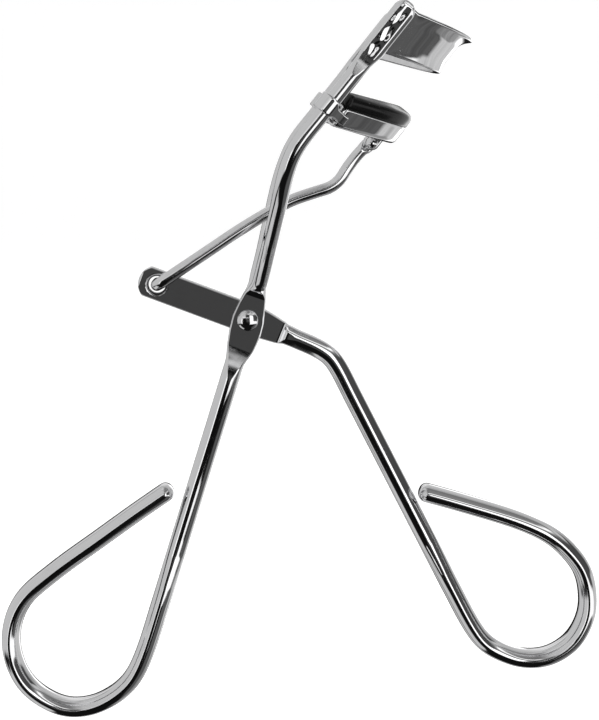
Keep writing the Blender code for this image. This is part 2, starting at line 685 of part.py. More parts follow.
def make_guide_sleeve(name, side, parts, cutters):
    """A rolled sleeve about the rail, with a tab that lies over the end of the channel's outer wall."""
    inner = RAIL_WIRE / 2 + SLEEVE_CLEARANCE
    outer = inner + SLEEVE_SHEET
    along, _ = jaw_axes()
    centre = jaw_point(SLEEVE_S, -RAIL_SETBACK, side * RAIL_SPREAD)
    mesh = bpy.data.meshes.new(name)
    shape = bmesh.new()
    bmesh.ops.create_cone(shape, cap_ends=True, segments=28, radius1=outer, radius2=outer,
                          depth=SLEEVE_LENGTH)
    turn = Vector((0.0, 0.0, 1.0)).rotation_difference(along)
    place = Matrix.Translation(centre) @ turn.to_matrix().to_4x4()
    bmesh.ops.transform(shape, matrix=place, verts=shape.verts)
    shape.to_mesh(mesh)
    shape.free()
    sleeve = add_object(name, mesh, parts, CHROME)
    wall_radius = JAW_ARC_RADIUS + CHANNEL_WIDTH / 2 + PAD_GAP + SLEEVE_SHEET / 2
    rows = []
    root_t = -RAIL_SETBACK + (inner + outer) / 2
    low = SLEEVE_S - TAB_HEIGHT / 2
    high = SLEEVE_S + TAB_HEIGHT / 2
    rows.append([jaw_point(s, root_t - 0.2 * MM, side * (RAIL_SPREAD + 0.1 * MM)) for s in (low, high)])
    tab_angle = TAB_LENGTH / wall_radius
    for i in range(4):
        angle = JAW_ARC_HALF + 0.03 - tab_angle * i / 3
        rows.append([arc_point(wall_radius, side * angle, s) for s in (low, high)])
    tab = grid_object(f"{name}_tab", rows, SLEEVE_SHEET, cutters, None)
    tab.hide_render = True
    tab.display_type = "WIRE"
    boolean(sleeve, tab, "UNION")
    bore = cutter_cylinder(f"{name}_bore", centre, along, inner, 2 * SLEEVE_LENGTH, cutters, sides=28)
    boolean(sleeve, bore, "DIFFERENCE")
    return sleeve


def main():
    clear_scene()
    parts = make_collection("eyelash_curler")
    cutters = make_collection("cutters")
    frame = make_holder("frame_origin", Vector((0, 0, 0)), parts)
    lever_axis = make_holder("lever_axis", PIVOT, parts)
    jaw_slide = make_holder("jaw_slide", jaw_point(SLEEVE_S, -RAIL_SETBACK), parts)
    link_axis = make_holder("link_axis", pin_centre(), parts)
    for obj in (make_near_arm(parts, cutters), make_far_rail(parts, cutters), make_upper_jaw(parts)):
        place_on(obj, frame)
    make_pivot_rivet(parts)
    place_on(make_lever_handle(parts, cutters), lever_axis)
    place_on(make_pusher_link(parts, cutters), link_axis)
    make_hinge_pin(parts)
    place_on(make_lower_jaw(parts, cutters), jaw_slide)
    place_on(make_jaw_pad(parts), jaw_slide)
    place_on(make_guide_sleeve("near_guide_sleeve", -1, parts, cutters), jaw_slide)
    place_on(make_guide_sleeve("far_guide_sleeve", 1, parts, cutters), jaw_slide)


main()
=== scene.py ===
"""Finished look of a wire eyelash curler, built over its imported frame.

Two chromed wires form a cage, an upper jaw is welded across their ends, and a lower jaw with a black pad
rides up the cage on two sleeves. Every piece is a numpy surface in metres. Its place comes from the frame's
joints.
"""

import json
import logging
import math
from dataclasses import dataclass
from enum import Enum
from typing import Any, Iterable, Sequence

import bpy
import numpy as np
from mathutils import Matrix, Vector


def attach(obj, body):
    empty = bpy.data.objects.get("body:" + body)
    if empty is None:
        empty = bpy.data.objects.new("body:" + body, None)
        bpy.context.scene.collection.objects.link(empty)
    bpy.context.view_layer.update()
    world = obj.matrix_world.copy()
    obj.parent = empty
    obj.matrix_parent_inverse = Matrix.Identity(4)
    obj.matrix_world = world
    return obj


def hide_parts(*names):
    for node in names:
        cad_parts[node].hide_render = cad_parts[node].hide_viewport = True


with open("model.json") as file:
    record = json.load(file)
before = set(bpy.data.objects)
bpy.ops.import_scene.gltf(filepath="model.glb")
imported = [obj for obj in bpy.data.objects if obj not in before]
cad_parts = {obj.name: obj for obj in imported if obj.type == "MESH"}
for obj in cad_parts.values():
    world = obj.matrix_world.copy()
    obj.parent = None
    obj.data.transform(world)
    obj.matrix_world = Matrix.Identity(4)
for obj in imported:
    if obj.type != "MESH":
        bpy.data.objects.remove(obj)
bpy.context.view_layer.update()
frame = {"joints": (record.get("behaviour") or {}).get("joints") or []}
LOG = logging.getLogger("eyelash_curler")

Array = np.ndarray
Profile = list[tuple[float, float]]
Knot = tuple[float, float, float, "Section"]
MM = 0.001
# Radius in millimetres at which a turned cutter's profile starts, since a ring needs some size.
AXIS = 0.01
# Spacing of the knots down a straight handle, and how far above its loop's root it has widened.
KNOT_SPACING = 2.5
ROOT_LENGTH = 9.0
# Angles above which an edge is left sharp, on turned pieces and round cut holes.
SHARP_TURNED = math.radians(40)
SHARP_CUT = math.radians(38)
JOINTS = {joint["name"]: joint for joint in frame["joints"]}
PIVOT = np.array(JOINTS["lever_pivot"]["pos_m"])
PIN = np.array(JOINTS["pusher_hinge"]["pos_m"])
ALONG = np.array(JOINTS["jaw_slide"]["axis"])
ACROSS = np.array([ALONG[2], 0.0, -ALONG[0]])


class Body(Enum):
    """Bodies of the frame that a piece can ride on."""

    FRAME = "frame"
    LEVER = "lever"
    JAW = "jaw"
    PUSHER = "pusher"


class Slot(Enum):
    """Material slots of the record."""

    CHROME = "chrome"
    PAD = "pad"


# ---------------------------------------------------------------------------------------------- geometry


def side_view(x: Array, y: Array, z: Array) -> Array:
    """World points from millimetres measured from the rivet's centre."""
    return PIVOT + np.stack(np.broadcast_arrays(x, y, z), axis=-1) * MM


def jaw_view(s: Array, t: Array, y: Array) -> Array:
    """World points from millimetres along the straight rails (s), across them (t) and along the rivet (y)."""
    s, t, y = np.broadcast_arrays(s, t, y)
    return PIVOT + (s[..., None] * ALONG + t[..., None] * ACROSS + y[..., None] * np.array([0, 1, 0])) * MM


def ease(x: Array) -> Array:
    """Smooth step: 0 below 0, 1 above 1, and 3x^2 - 2x^3 between."""
    x = np.clip(x, 0.0, 1.0)
    return x * x * (3 - 2 * x)


def unit(vectors: Array) -> Array:
    """The vectors divided by their lengths."""
    return vectors / np.maximum(np.linalg.norm(vectors, axis=-1, keepdims=True), 1e-12)


def blur(values: Array, spacing: float, width: float) -> Array:
    """Gaussian-weighted mean along the first axis, with the ends carried on in a straight line.

    Args:
        values: Samples an even spacing apart.
        spacing: Distance between samples.
        width: Standard deviation of the weights, in the same unit.

    Returns:
        Smoothed samples, with the two ends unchanged.
    """
    reach = max(1, int(3 * width / spacing))
    weights = np.exp(-0.5 * (np.arange(-reach, reach + 1) * spacing / width) ** 2)
    weights /= weights.sum()
    table = values.reshape(len(values), -1)
    before = 2 * table[:1] - table[1:reach + 1][::-1]
    after = 2 * table[-1:] - table[-reach - 1:-1][::-1]
    padded = np.concatenate([before, table, after])
    smooth = np.stack([np.convolve(column, weights, mode="valid") for column in padded.T], axis=1)
    smooth[0], smooth[-1] = table[0], table[-1]
    return smooth.reshape(values.shape)


def flowing_line(knots: Array, step: float, softness: float) -> tuple[Array, Array]:
    """A smooth line through knots.

    A centripetal Catmull-Rom curve: each span blends the straight lines through its four nearest knots, which
    are spaced by the square root of their distances. A Gaussian blur then evens out its curvature.

    Args:
        knots: Points to pass through, one a row.
        step: Spacing of the result.
        softness: Width of the blur.

    Returns:
        Points an even step apart, and for each its place among the knots (1.5 is halfway from knot 1 to 2).
    """
    ends = np.concatenate([[2 * knots[0] - knots[1]], knots, [2 * knots[-1] - knots[-2]]])
    times = np.concatenate([[0], np.cumsum(np.linalg.norm(np.diff(ends, axis=0), axis=1) ** 0.5)])
    places = np.linspace(0, len(knots) - 1, 40 * len(knots))
    span = np.minimum(places.astype(int), len(knots) - 2)
    points = [ends[span + i] for i in range(4)]
    moments = [times[span + i][:, None] for i in range(4)]
    now = moments[1] + (moments[2] - moments[1]) * (places - span)[:, None]

    def between(a: Array, b: Array, start: Array, stop: Array) -> Array:
        """The straight line from a at start to b at stop."""
        return a + (b - a) * (now - start) / (stop - start)

    lines = [between(points[i], points[i + 1], moments[i], moments[i + 1]) for i in range(3)]
    curves = [between(lines[i], lines[i + 1], moments[i], moments[i + 2]) for i in range(2)]
    curve = between(curves[0], curves[1], moments[1], moments[2])
    length = np.concatenate([[0], np.cumsum(np.linalg.norm(np.diff(curve, axis=0), axis=1))])
    even = np.linspace(0, length[-1], max(3, int(length[-1] / step)) + 1)
    line = np.stack([np.interp(even, length, column) for column in curve.T], axis=1)
    return blur(line, even[1], softness), np.interp(even, length, places)


def resample(values: Array, stations: Array) -> Array:
    """Values at fractional row numbers, by straight interpolation."""
    rows = np.arange(len(values))
    table = values.reshape(len(values), -1)
    columns = [np.interp(stations, rows, column) for column in table.T]
    return np.stack(columns, axis=1).reshape(-1, *values.shape[1:])


# ------------------------------------------------------------------------------------------------ meshes


def mesh_from(points: Array, quads: Array, name: str, flow: Array) -> bpy.types.Mesh:
    """A closed mesh whose faces point outwards.

    Args:
        points: Vertices, one a row, in metres.
        quads: Vertex numbers of the faces, four a row. A face whose last two are the same is a triangle.
        name: Name of the mesh.
        flow: For each corner of each face, a place on the surface, as the UV map "flow".

    Returns:
        The mesh, smooth-shaded. It is turned round if its signed volume, the sum of a.(b x c), is negative.
    """
    fan = points[quads] - points.mean(axis=0)
    volume = np.einsum("ij,ij->", fan[:, 0], np.cross(fan[:, 1], fan[:, 2]))
    volume += np.einsum("ij,ij->", fan[:, 0], np.cross(fan[:, 2], fan[:, 3]))
    if volume < 0:
        quads, flow = quads[:, ::-1], flow[:, ::-1]
    keep = np.ones(quads.shape, bool)
    keep[:, 1:] &= quads[:, 1:] != quads[:, :-1]
    sizes = keep.sum(axis=1)
    mesh = bpy.data.meshes.new(name)
    mesh.vertices.add(len(points))
    mesh.vertices.foreach_set("co", points.astype(np.float32).ravel())
    mesh.loops.add(int(sizes.sum()))
    mesh.loops.foreach_set("vertex_index", quads[keep].astype(np.int32))
    mesh.polygons.add(len(quads))
    mesh.polygons.foreach_set("loop_start", np.concatenate([[0], np.cumsum(sizes)[:-1]]).astype(np.int32))
    mesh.update(calc_edges=True)
    mesh.uv_layers.new(name="flow").data.foreach_set("uv", flow[keep].astype(np.float32).ravel())
    mesh.shade_smooth()
    return mesh


def tube_mesh(name: str, rings: Array) -> bpy.types.Mesh:
    """Skins closed rings and closes both ends with a fan to the ring's middle.

    Args:
        name: Name of the mesh.
        rings: Points as (ring, place round the ring, xyz).

    Returns:
        The closed mesh. Its "flow" map holds metres along the rings and metres round them.
    """
    count, size = rings.shape[:2]
    points = np.concatenate([rings.reshape(-1, 3), rings[:1].mean(axis=1), rings[-1:].mean(axis=1)])
    row, column = np.meshgrid(np.arange(count - 1), np.arange(size), indexing="ij")
    following = (column + 1) % size
    sides = np.stack([row * size + column, row * size + following, (row + 1) * size + following,
                      (row + 1) * size + column], axis=-1).reshape(-1, 4)
    turn = np.arange(size)
    ahead = (turn + 1) % size
    start = np.stack([np.full(size, count * size), ahead, turn, turn], axis=1)
    stop_row = (count - 1) * size
    stop = np.stack([np.full(size, count * size + 1), stop_row + turn, stop_row + ahead, stop_row + ahead],
                    axis=1)
    run = np.concatenate([[0], np.cumsum(np.linalg.norm(np.diff(rings.mean(axis=1), axis=0), axis=1))])
    round_about = np.linalg.norm(rings - np.roll(rings, -1, axis=1), axis=-1).max(axis=0)
    girth = np.concatenate([[0], np.cumsum(round_about)])
    corners = [(row, column), (row, column + 1), (row + 1, column + 1), (row + 1, column)]
    flow = np.stack([np.stack([run[r], girth[c]], -1) for r, c in corners], axis=2).reshape(-1, 4, 2)

    def cap(along: float) -> Array:
        """Places of an end's fan: all at one distance along."""
        round_cap = np.stack([girth[turn], girth[turn + 1], girth[turn], girth[turn]], axis=1)
        return np.stack([np.full_like(round_cap, along), round_cap], axis=-1)

    return mesh_from(points, np.concatenate([sides, start, stop]), name,
                     np.concatenate([flow, cap(run[0]), cap(run[-1])]))


def sheet_rings(middle: Array, thickness: float, turns: int = 5) -> Array:
    """Closed rings about a sheet's middle surface, with every edge rounded by half the thickness.

    The two faces lie half a thickness from the middle along its normal, which is the cross product of its two
    directions. Each edge is a half circle about the middle's own edge.

    Args:
        middle: Middle surface as (row, column, xyz). Rows follow each other along the sheet.
        thickness: Wall in metres.
        turns: Steps of each quarter circle.

    Returns:
        Rings as (row, place round the ring, xyz), for tube_mesh.
    """
    half = thickness / 2
    down_rows = unit(np.gradient(middle, axis=0))
    over_columns = unit(np.gradient(middle, axis=1))
    normal = unit(np.cross(down_rows, over_columns))
    quarter = np.linspace(0, math.pi / 2, turns + 1)
    half_turn = np.linspace(0, math.pi, 2 * turns + 1)[1:-1, None, None]

    def ring(row_shift: Array, share: Array) -> Array:
        """Rings moved along the rows, with the wall scaled by share."""
        base = middle[row_shift[0]] + down_rows[row_shift[0]] * row_shift[1][:, None, None]
        out = normal[row_shift[0]] * (half * share)[:, None, None]
        side = over_columns[row_shift[0]] * (half * share)[:, None, None]
        high = base[:, -1] + (np.cos(half_turn) * out[:, -1] + np.sin(half_turn) * side[:, -1])
        low = base[:, 0] - (np.cos(half_turn) * out[:, 0] + np.sin(half_turn) * side[:, 0])
        return np.concatenate([base + out, high.transpose(1, 0, 2), (base - out)[:, ::-1],
                               low.transpose(1, 0, 2)], axis=1)

    rows = np.arange(1, len(middle) - 1)
    first = np.zeros(turns, int)
    last = np.full(turns, len(middle) - 1)
    lift = np.sin(quarter[1:]) * half
    share = np.cos(quarter[1:]) * 0.98 + 0.02
    before = ring((first, -lift[::-1]), share[::-1])
    after = ring((last, lift), share)
    edge = (np.array([0, *rows, len(middle) - 1]), np.zeros(len(middle)))
    return np.concatenate([before, ring(edge, np.ones(len(middle))), after])


def turned_rings(profile: Profile, centre: Array, turns: int = 48) -> Array:
    """Rings of a turned piece about the rivet's direction.

    Args:
        profile: (radius, y) in millimetres from the near end to the far end.
        centre: World point that y is measured from.
        turns: Places round each ring.

    Returns:
        Rings as (profile point, place round, xyz).
    """
    radius, y = (np.array(column)[:, None] * MM for column in zip(*profile))
    angle = np.linspace(0, 2 * math.pi, turns, endpoint=False)[None]
    return centre + np.stack([radius * np.cos(angle), y + 0 * angle, radius * np.sin(angle)], axis=-1)


def arc_profile(radius: float, height: float, y: float, side: int, steps: int = 12) -> Profile:
    """Profile points of a dome from its rim at y to its pole, an ellipse of that radius and height."""
    angles = np.linspace(0, math.pi / 2, steps)
    return [(max(radius * math.cos(a), 1e-4), y + side * height * math.sin(a)) for a in angles]


def turned_piece(name: str, profile: Profile, centre: Array, turns: int = 48) -> bpy.types.Mesh:
    """The mesh of a turned piece, its corners left sharp. The arguments are those of turned_rings."""
    mesh = tube_mesh(name, turned_rings(profile, centre, turns))
    mesh.set_sharp_from_angle(angle=SHARP_TURNED)
    return mesh


# ------------------------------------------------------------------------------------------------- wires


@dataclass(frozen=True)
class Section:
    """Wire section in millimetres: an ellipse cut off by two flats.

    Attributes:
        across: Half width in the side view.
        deep: Half depth of the ellipse along Y.
        press: Half the distance between the two flats.
    """

    across: float
    deep: float
    press: float


def round_wire(diameter: float) -> Section:
    """The section of a round wire."""
    return Section(diameter / 2, diameter / 2, diameter / 2)


@dataclass
class Wire:
    """A wire swept along knots, with its section changing from knot to knot.

    Attributes:
        name: Piece name.
        knots: (x, z, y, section) in millimetres from the rivet's centre.
        softness: Blur of the route.
        step: Spacing of the rings.
        start_round: Radius of a plate's round end at the first knot, or 0 for a blunt wire end.
        stop_round: The same at the last knot.
        tip: Length over which a blunt end rounds off.
        welds: Hollows in the plate's outer flat: distance from its end, offset across, half length, half
            width and depth. A negative depth is a ridge.
        weld_side: -1 where the outer flat faces -Y, 1 where it faces +Y.
        lean: (x, z) direction that the wire bends to after a stretch along Y.
        side_points: Points on each rounded side of a ring.
        flat_points: Points on each flat of a ring.
        fine: Spacing of the points that the route is blurred at.
        section_blur: Blur of the sections along the route.
        lean_share: How strongly the lean turns the sections.
        steepest: Largest angle in degrees at which a rounded side may end.
    """

    name: str
    knots: Sequence[Knot]
    softness: float = 1.1
    step: float = 0.25
    start_round: float = 0.0
    stop_round: float = 0.0
    tip: float = 1.3
    welds: Sequence[tuple[float, float, float, float, float]] = ()
    weld_side: int = -1
    lean: tuple[float, float] = (0.0, 0.0)
    side_points: int = 18
    flat_points: int = 14
    fine: float = 0.1
    section_blur: float = 0.16
    lean_share: float = 0.002
    steepest: float = 78

    def stations(self, length: float) -> Array:
        """Distances of the rings along the wire: even, and closing up towards both ends."""
        crowd = self.tip * (1 - np.cos(np.linspace(0, math.pi / 2, 14)))
        middle = np.linspace(self.tip, length - self.tip, int((length - 2 * self.tip) / self.step))
        return np.concatenate([crowd[:-1], middle, length - crowd[-2::-1]])

    def close(self, sizes: Array, left: Array, radius: float) -> None:
        """Shrinks the sections towards an end, in place.

        With u from 0 to 1 over the tip, a blunt end follows (1 - u^2.2)^(1 / 2.2). A plate's width follows a
        half circle of its end radius, and its rim rounds over as its sides do.

        Args:
            sizes: Section sizes, one row a ring.
            left: Distance from each ring to that end.
            radius: The plate's end radius, or 0 for a blunt end.
        """
        if not radius:
            u = 1 - np.clip(left / self.tip, 0.0, 1.0)
            sizes *= np.maximum((1 - u**2.2) ** (1 / 2.2), 0.02)[:, None]
            return
        circle = np.sqrt(1 - (1 - np.clip(left / radius, 0.0, 1.0)) ** 2)
        for column, full in ((0, radius), (2, sizes[:, 1])):
            limit = np.where(left < radius, np.maximum(full * circle, 0.03), np.inf)
            sizes[:, column] = np.minimum(sizes[:, column], limit)

    def rings(self) -> Array:
        """Rings round the wire.

        Each ring has two rounded sides, x = across cos a and y = deep sin a up to where the flats cut in, and
        two runs between them with y held at the flat.

        Returns:
            Points as (ring, place round the ring, xyz).
        """
        knots = np.array([[x, y, z] for x, z, y, _ in self.knots])
        sizes = np.array([[s.across, s.deep, s.press] for *_, s in self.knots])
        line, places = flowing_line(knots, self.fine, self.softness)
        length = np.concatenate([[0], np.cumsum(np.linalg.norm(np.diff(line, axis=0), axis=1))])
        sizes = blur(resample(sizes, places), self.fine, self.section_blur)
        along = self.stations(length[-1])
        at = np.interp(along, length, np.arange(len(line)))
        centre, sizes = resample(line, at), resample(sizes, at)
        self.close(sizes, along, self.start_round)
        self.close(sizes, along[-1] - along, self.stop_round)
        tangent = unit(resample(np.gradient(line, axis=0), at))
        to_y = np.array([0.0, 1.0, 0.0])
        side = unit(np.cross(tangent + self.lean_share * np.array([self.lean[0], 0.0, self.lean[1]]), to_y))
        depth = np.cross(side, tangent)
        across, deep, press = (column[:, None] for column in sizes.T)
        cut = np.arcsin(np.clip(press / deep, 0.0, math.sin(math.radians(self.steepest))))
        sweep = np.linspace(-1, 1, self.side_points)[None] * cut
        run = np.linspace(1, -1, self.flat_points + 2)[None, 1:-1] * np.cos(cut)

        def out(x: Array, y: Array) -> Array:
            """Points from section places."""
            return centre[:, None] + side[:, None] * (x * across)[..., None] + depth[:, None] * y[..., None]

        level = np.minimum(deep * np.sqrt(1 - run**2), press)
        hollow = self.hollows(along[-1] - along, run * across)
        back = level - (hollow if self.weld_side > 0 else 0.0)
        front = level - (hollow if self.weld_side < 0 else 0.0)
        rings = np.concatenate([out(np.cos(sweep), deep * np.sin(sweep)), out(run, back),
                                out(-np.cos(sweep), -deep * np.sin(sweep)), out(-run, -front[:, ::-1])],
                               axis=1)
        return PIVOT + rings * MM

    def hollows(self, left: Array, across: Array) -> Array:
        """Sum of Gaussian hollows in the outer flat, in millimetres."""
        depth = np.zeros_like(across)
        for from_end, offset, long, wide, deepest in self.welds:
            along = (left - from_end)[:, None] / long
            depth += deepest * np.exp(-(along**2 + ((across - offset) / wide) ** 2) / 2)
        return depth

    def mesh(self) -> bpy.types.Mesh:
        """The wire's closed mesh."""
        return tube_mesh(self.name, self.rings())


# --------------------------------------------------------------------------------------------- materials


class Value:
    """A shader socket that takes part in Python arithmetic."""

    def __init__(self, graph: "Graph", socket: Any) -> None:
        """Keeps the socket and the graph that it lives in."""
        self.graph = graph
        self.socket = socket

    def math(self, operation: str, *others: Any) -> "Value":
        """The result of a Math node on this value and others."""
        return self.graph.math(operation, self, *others)

    def __add__(self, other: Any) -> "Value":
        """Sum."""
        return self.math("ADD", other)

    __radd__ = __add__

    def __sub__(self, other: Any) -> "Value":
        """Difference."""
        return self.math("SUBTRACT", other)

    def __rsub__(self, other: Any) -> "Value":
        """Difference with the value on the right."""
        return self.graph.math("SUBTRACT", other, self)

    def __mul__(self, other: Any) -> "Value":
        """Product."""
        return self.math("MULTIPLY", other)

    __rmul__ = __mul__

    def between(self, low: float, high: float) -> "Value":
        """A smooth 0 to 1 as the value goes from low to high."""
        node = self.graph.node("ShaderNodeMapRange", {"interpolation_type": "SMOOTHSTEP"},
                               Value=self, From_Min=low, From_Max=high)
        return node["Result"]


class Node:
    """A node whose outputs are read by name."""

    def __init__(self, graph: "Graph", node: Any) -> None:
        """Keeps the node."""
        self.graph = graph
        self.node = node

    def __getitem__(self, output: str) -> Value:
        """The named output as a Value."""
        return Value(self.graph, self.node.outputs[output])


class Graph:
    """The nodes of a material or a world, made from Python expressions."""

    def __init__(self, tree: bpy.types.NodeTree) -> None:
        """Empties the tree and keeps it."""
        self.tree = tree
        tree.nodes.clear()

    def node(self, kind: str, settings: dict[str, Any] | None = None, **inputs: Any) -> Node:
        """Adds any node.

        Args:
            kind: The node's type.
            settings: Its own properties, set first.
            **inputs: Socket values or links by name, with _ for a space. A name like i1 is a socket's number.

        Returns:
            The node.
        """
        node = self.tree.nodes.new(kind)
        for key, setting in (settings or {}).items():
            setattr(node, key, setting)
        for key, given in inputs.items():
            numbered = key[0] == "i" and key[1:].isdigit()
            target = node.inputs[int(key[1:]) if numbered else key.replace("_", " ")]
            if isinstance(given, Value):
                self.tree.links.new(given.socket, target)
            else:
                target.default_value = given
        return Node(self, node)

    def math(self, operation: str, *terms: Any) -> Value:
        """A Math node on values or numbers."""
        inputs = {f"i{i}": term for i, term in enumerate(terms)}
        return self.node("ShaderNodeMath", {"operation": operation}, **inputs)["Value"]

    def noise(self, place: Value, scale: float, detail: float) -> Value:
        """Fractal noise at a scale per metre."""
        return self.node("ShaderNodeTexNoise", None, Vector=place, Scale=scale, Detail=detail)["Fac"]

    def specks(self, place: Value, scale: float, start: float, stop: float) -> Value:
        """Round specks at a scale per metre: 1 nearer than start to a cell's middle, 0 past stop."""
        cells = self.node("ShaderNodeTexVoronoi", None, Vector=place, Scale=scale)["Distance"]
        return 1 - cells.between(start, stop)

    def grey(self, tone: Any, blue: Any = None) -> Value:
        """A grey colour, with its own blue if one is given."""
        blue = tone if blue is None else blue
        return self.node("ShaderNodeCombineColor", None, Red=tone, Green=tone, Blue=blue)["Color"]

    def finish(self, height: Value, colour: Value, roughness: Any, **settings: Any) -> None:
        """The surface shader, its bump taken from a height in metres.

        Args:
            height: Height of the surface.
            colour: Base colour.
            roughness: Roughness.
            **settings: Uniform values of other sockets.
        """
        bump = self.node("ShaderNodeBump", None, Strength=1.0, Distance=1.0, Height=height)
        shader = self.node("ShaderNodeBsdfPrincipled", None, Base_Color=colour, Roughness=roughness,
                           Normal=bump["Normal"], **settings)
        self.node("ShaderNodeOutputMaterial", None, Surface=shader["BSDF"])


def new_material(name: str) -> tuple[bpy.types.Material, Graph]:
    """A material and its empty graph."""
    material = bpy.data.materials.new(name)
    material.use_nodes = True
    return material, Graph(material.node_tree)


@dataclass(frozen=True)
class Chrome:
    """Bright nickel-chrome plate over polished steel.

    Attributes:
        name: Material name.
        grey: Reflectance.
        roughness: Mean roughness.
        streak: Height of the polishing lines along the piece, in metres.
        swell: Height of the slow unevenness under the plate, in metres.
        haze: Extra roughness where handling has dulled the plate.
        grain: Height of the plate's fine grain, in metres.
        pit_depth: Depth of the scattered pits, in metres.
        along_flow: Whether the polishing lines follow the mesh's flow map.
    """

    name: str
    grey: float = 0.8
    roughness: float = 0.07
    streak: float = 4e-7
    swell: float = 6e-6
    haze: float = 0.07
    grain: float = 1.2e-7
    pit_depth: float = 4e-6
    along_flow: bool = True

    def build(self) -> bpy.types.Material:
        """The node material: swell, polishing lines, pits and haze."""
        material, graph = new_material(self.name)
        place = graph.node("ShaderNodeTexCoord")["Object"]
        swell = graph.noise(place, 170.0, 2.0)
        haze = graph.noise(place, 420.0, 4.0).between(0.45, 0.8)
        grain = graph.noise(place, 5200.0, 2.0)
        pits = graph.specks(place, 1300.0, 0.02, 0.09) * graph.noise(place, 300.0, 0.0).between(0.62, 0.7)
        lines = self.polish_lines(graph, place)
        height = (swell - 0.5) * self.swell + (lines - 0.5) * self.streak
        height = height + (grain - 0.5) * self.grain - pits * self.pit_depth
        tone = self.grey - haze * 0.03 - pits * 0.25
        roughness = self.roughness + haze * self.haze + (lines - 0.5) * 0.03 + pits * 0.2
        graph.finish(height, graph.grey(tone, tone * 1.01), roughness, Metallic=1.0)
        return material

    def polish_lines(self, graph: Graph, place: Value) -> Value:
        """Fine lines that follow the piece: noise drawn out along the flow map."""
        if not self.along_flow:
            return graph.noise(place, 2400.0, 2.0)
        flow = graph.node("ShaderNodeUVMap", {"uv_map": "flow"})["UV"]
        drawn = graph.node("ShaderNodeMapping", None, Vector=flow, Scale=(90.0, 6500.0, 1.0))["Vector"]
        return graph.noise(drawn, 1.0, 3.0)


@dataclass(frozen=True)
class Silicone:
    """Glossy black silicone of the pad."""

    name: str = "black_silicone"

    def build(self) -> bpy.types.Material:
        """The node material: a near-black gloss with faint moulding grain and dust."""
        material, graph = new_material(self.name)
        place = graph.node("ShaderNodeTexCoord")["Object"]
        cloud = graph.noise(place, 300.0, 3.0)
        grain = graph.noise(place, 4200.0, 2.0)
        dust = graph.specks(place, 900.0, 0.05, 0.13) * graph.noise(place, 260.0, 0.0).between(0.55, 0.66)
        height = (cloud - 0.5) * 9e-6 + (grain - 0.5) * 4e-7 + dust * 1.5e-5
        colour = graph.grey(0.006 + cloud * 0.006 + dust * 0.05)
        graph.finish(height, colour, 0.14 + cloud * 0.1 + dust * 0.2, IOR=1.4, Specular_IOR_Level=0.3)
        return material


# ---------------------------------------------------------------------------------------- sub-assemblies

WIRE_CHROME = Chrome("wire_chrome")
SHEET_CHROME = Chrome("sheet_chrome", roughness=0.06, swell=9e-6, streak=2e-7)
TURNED_CHROME = Chrome("turned_chrome", roughness=0.09, along_flow=False)
PAD_SILICONE = Silicone()


def polar(length: float, degrees: float) -> Array:
    """(x, z) at a distance and an angle above +X."""
    return np.array([math.cos(math.radians(degrees)), math.sin(math.radians(degrees))]) * length


def jaw_xz(s: float, t: float) -> tuple[float, float]:
    """(x, z) from the rivet of a place given along and across the straight rails."""
    return s * ALONG[0] + t * ACROSS[0], s * ALONG[2] + t * ACROSS[2]


def loop_spots(route: Sequence[tuple[float, float]], root: Array, tip: float = 0.8) -> Array:
    """A finger loop's places from its tip to its root, with the tip drawn out straight by that much."""
    spots = (np.array(route) + root)[::-1]
    return np.concatenate([[spots[0] + unit(spots[0] - spots[1]) * tip], spots])


def rooted(wire: Section, loop: Section, along: float) -> Section:
    """A handle's section at a distance above its loop's root, where the loop widens out of the wire."""
    deep = wire.deep + (loop.deep - wire.deep) * float(ease(np.array(1 - along / ROOT_LENGTH)))
    return Section(wire.across, deep, deep)


def shaft_cutter(name: str, x: float, z: float, profile: Profile) -> bpy.types.Mesh:
    """A turned solid along Y that cuts a hole, its profile given as (radius, y) in millimetres."""
    return tube_mesh(name, turned_rings(profile, side_view(x, 0.0, z), 40))


def drill(name: str, x: float, z: float, radius: float, near: float, far: float) -> bpy.types.Mesh:
    """A cutter for a plain hole along Y, between two y."""
    return shaft_cutter(name, x, z, [(AXIS, near), (radius, near), (radius, far), (AXIS, far)])


def put(name: str, data: Any) -> bpy.types.Object:
    """A new object in the scene that holds a mesh, a camera or a light."""
    obj = bpy.data.objects.new(name, data)
    bpy.context.scene.collection.objects.link(obj)
    return obj


def cut(mesh: bpy.types.Mesh, cutters: Iterable[bpy.types.Mesh]) -> bpy.types.Mesh:
    """The mesh with each cutter taken away, and its new rims left sharp."""
    body = put("uncut", mesh)
    tools = []
    for cutter in cutters:
        tool = put("cutter", cutter)
        modifier = body.modifiers.new("hole", "BOOLEAN")
        modifier.operation = "DIFFERENCE"
        modifier.solver = "EXACT"
        modifier.object = tool
        tools.append(tool)
    graph = bpy.context.evaluated_depsgraph_get()
    finished = body.evaluated_get(graph)
    result = bpy.data.meshes.new_from_object(finished, preserve_all_data_layers=True, depsgraph=graph)
    result.name = mesh.name
    for obj in (body, *tools):
        bpy.data.objects.remove(obj)
    result.set_sharp_from_angle(angle=SHARP_CUT)
    return result


def place(name: str, mesh: bpy.types.Mesh, finish: Chrome | Silicone, body: Body, slot: Slot,
          *nodes: str) -> None:
    """Makes a piece of a mesh, dresses it and hangs it on its body.

    Args:
        name: Name of the piece.
        mesh: Its mesh, already in place.
        finish: Its material.
        body: The body that it rides on.
        slot: The record's material slot. Not used.
        *nodes: CAD nodes that it stands for.
    """
    material = bpy.data.materials.get(finish.name) or finish.build()
    mesh.materials.clear()
    mesh.materials.append(material)
    piece = put(name, mesh)
    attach(piece, body.value)
    if nodes:
        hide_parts(*nodes)
    LOG.info("%s: %d faces, finish %s", name, len(mesh.polygons), finish.name)


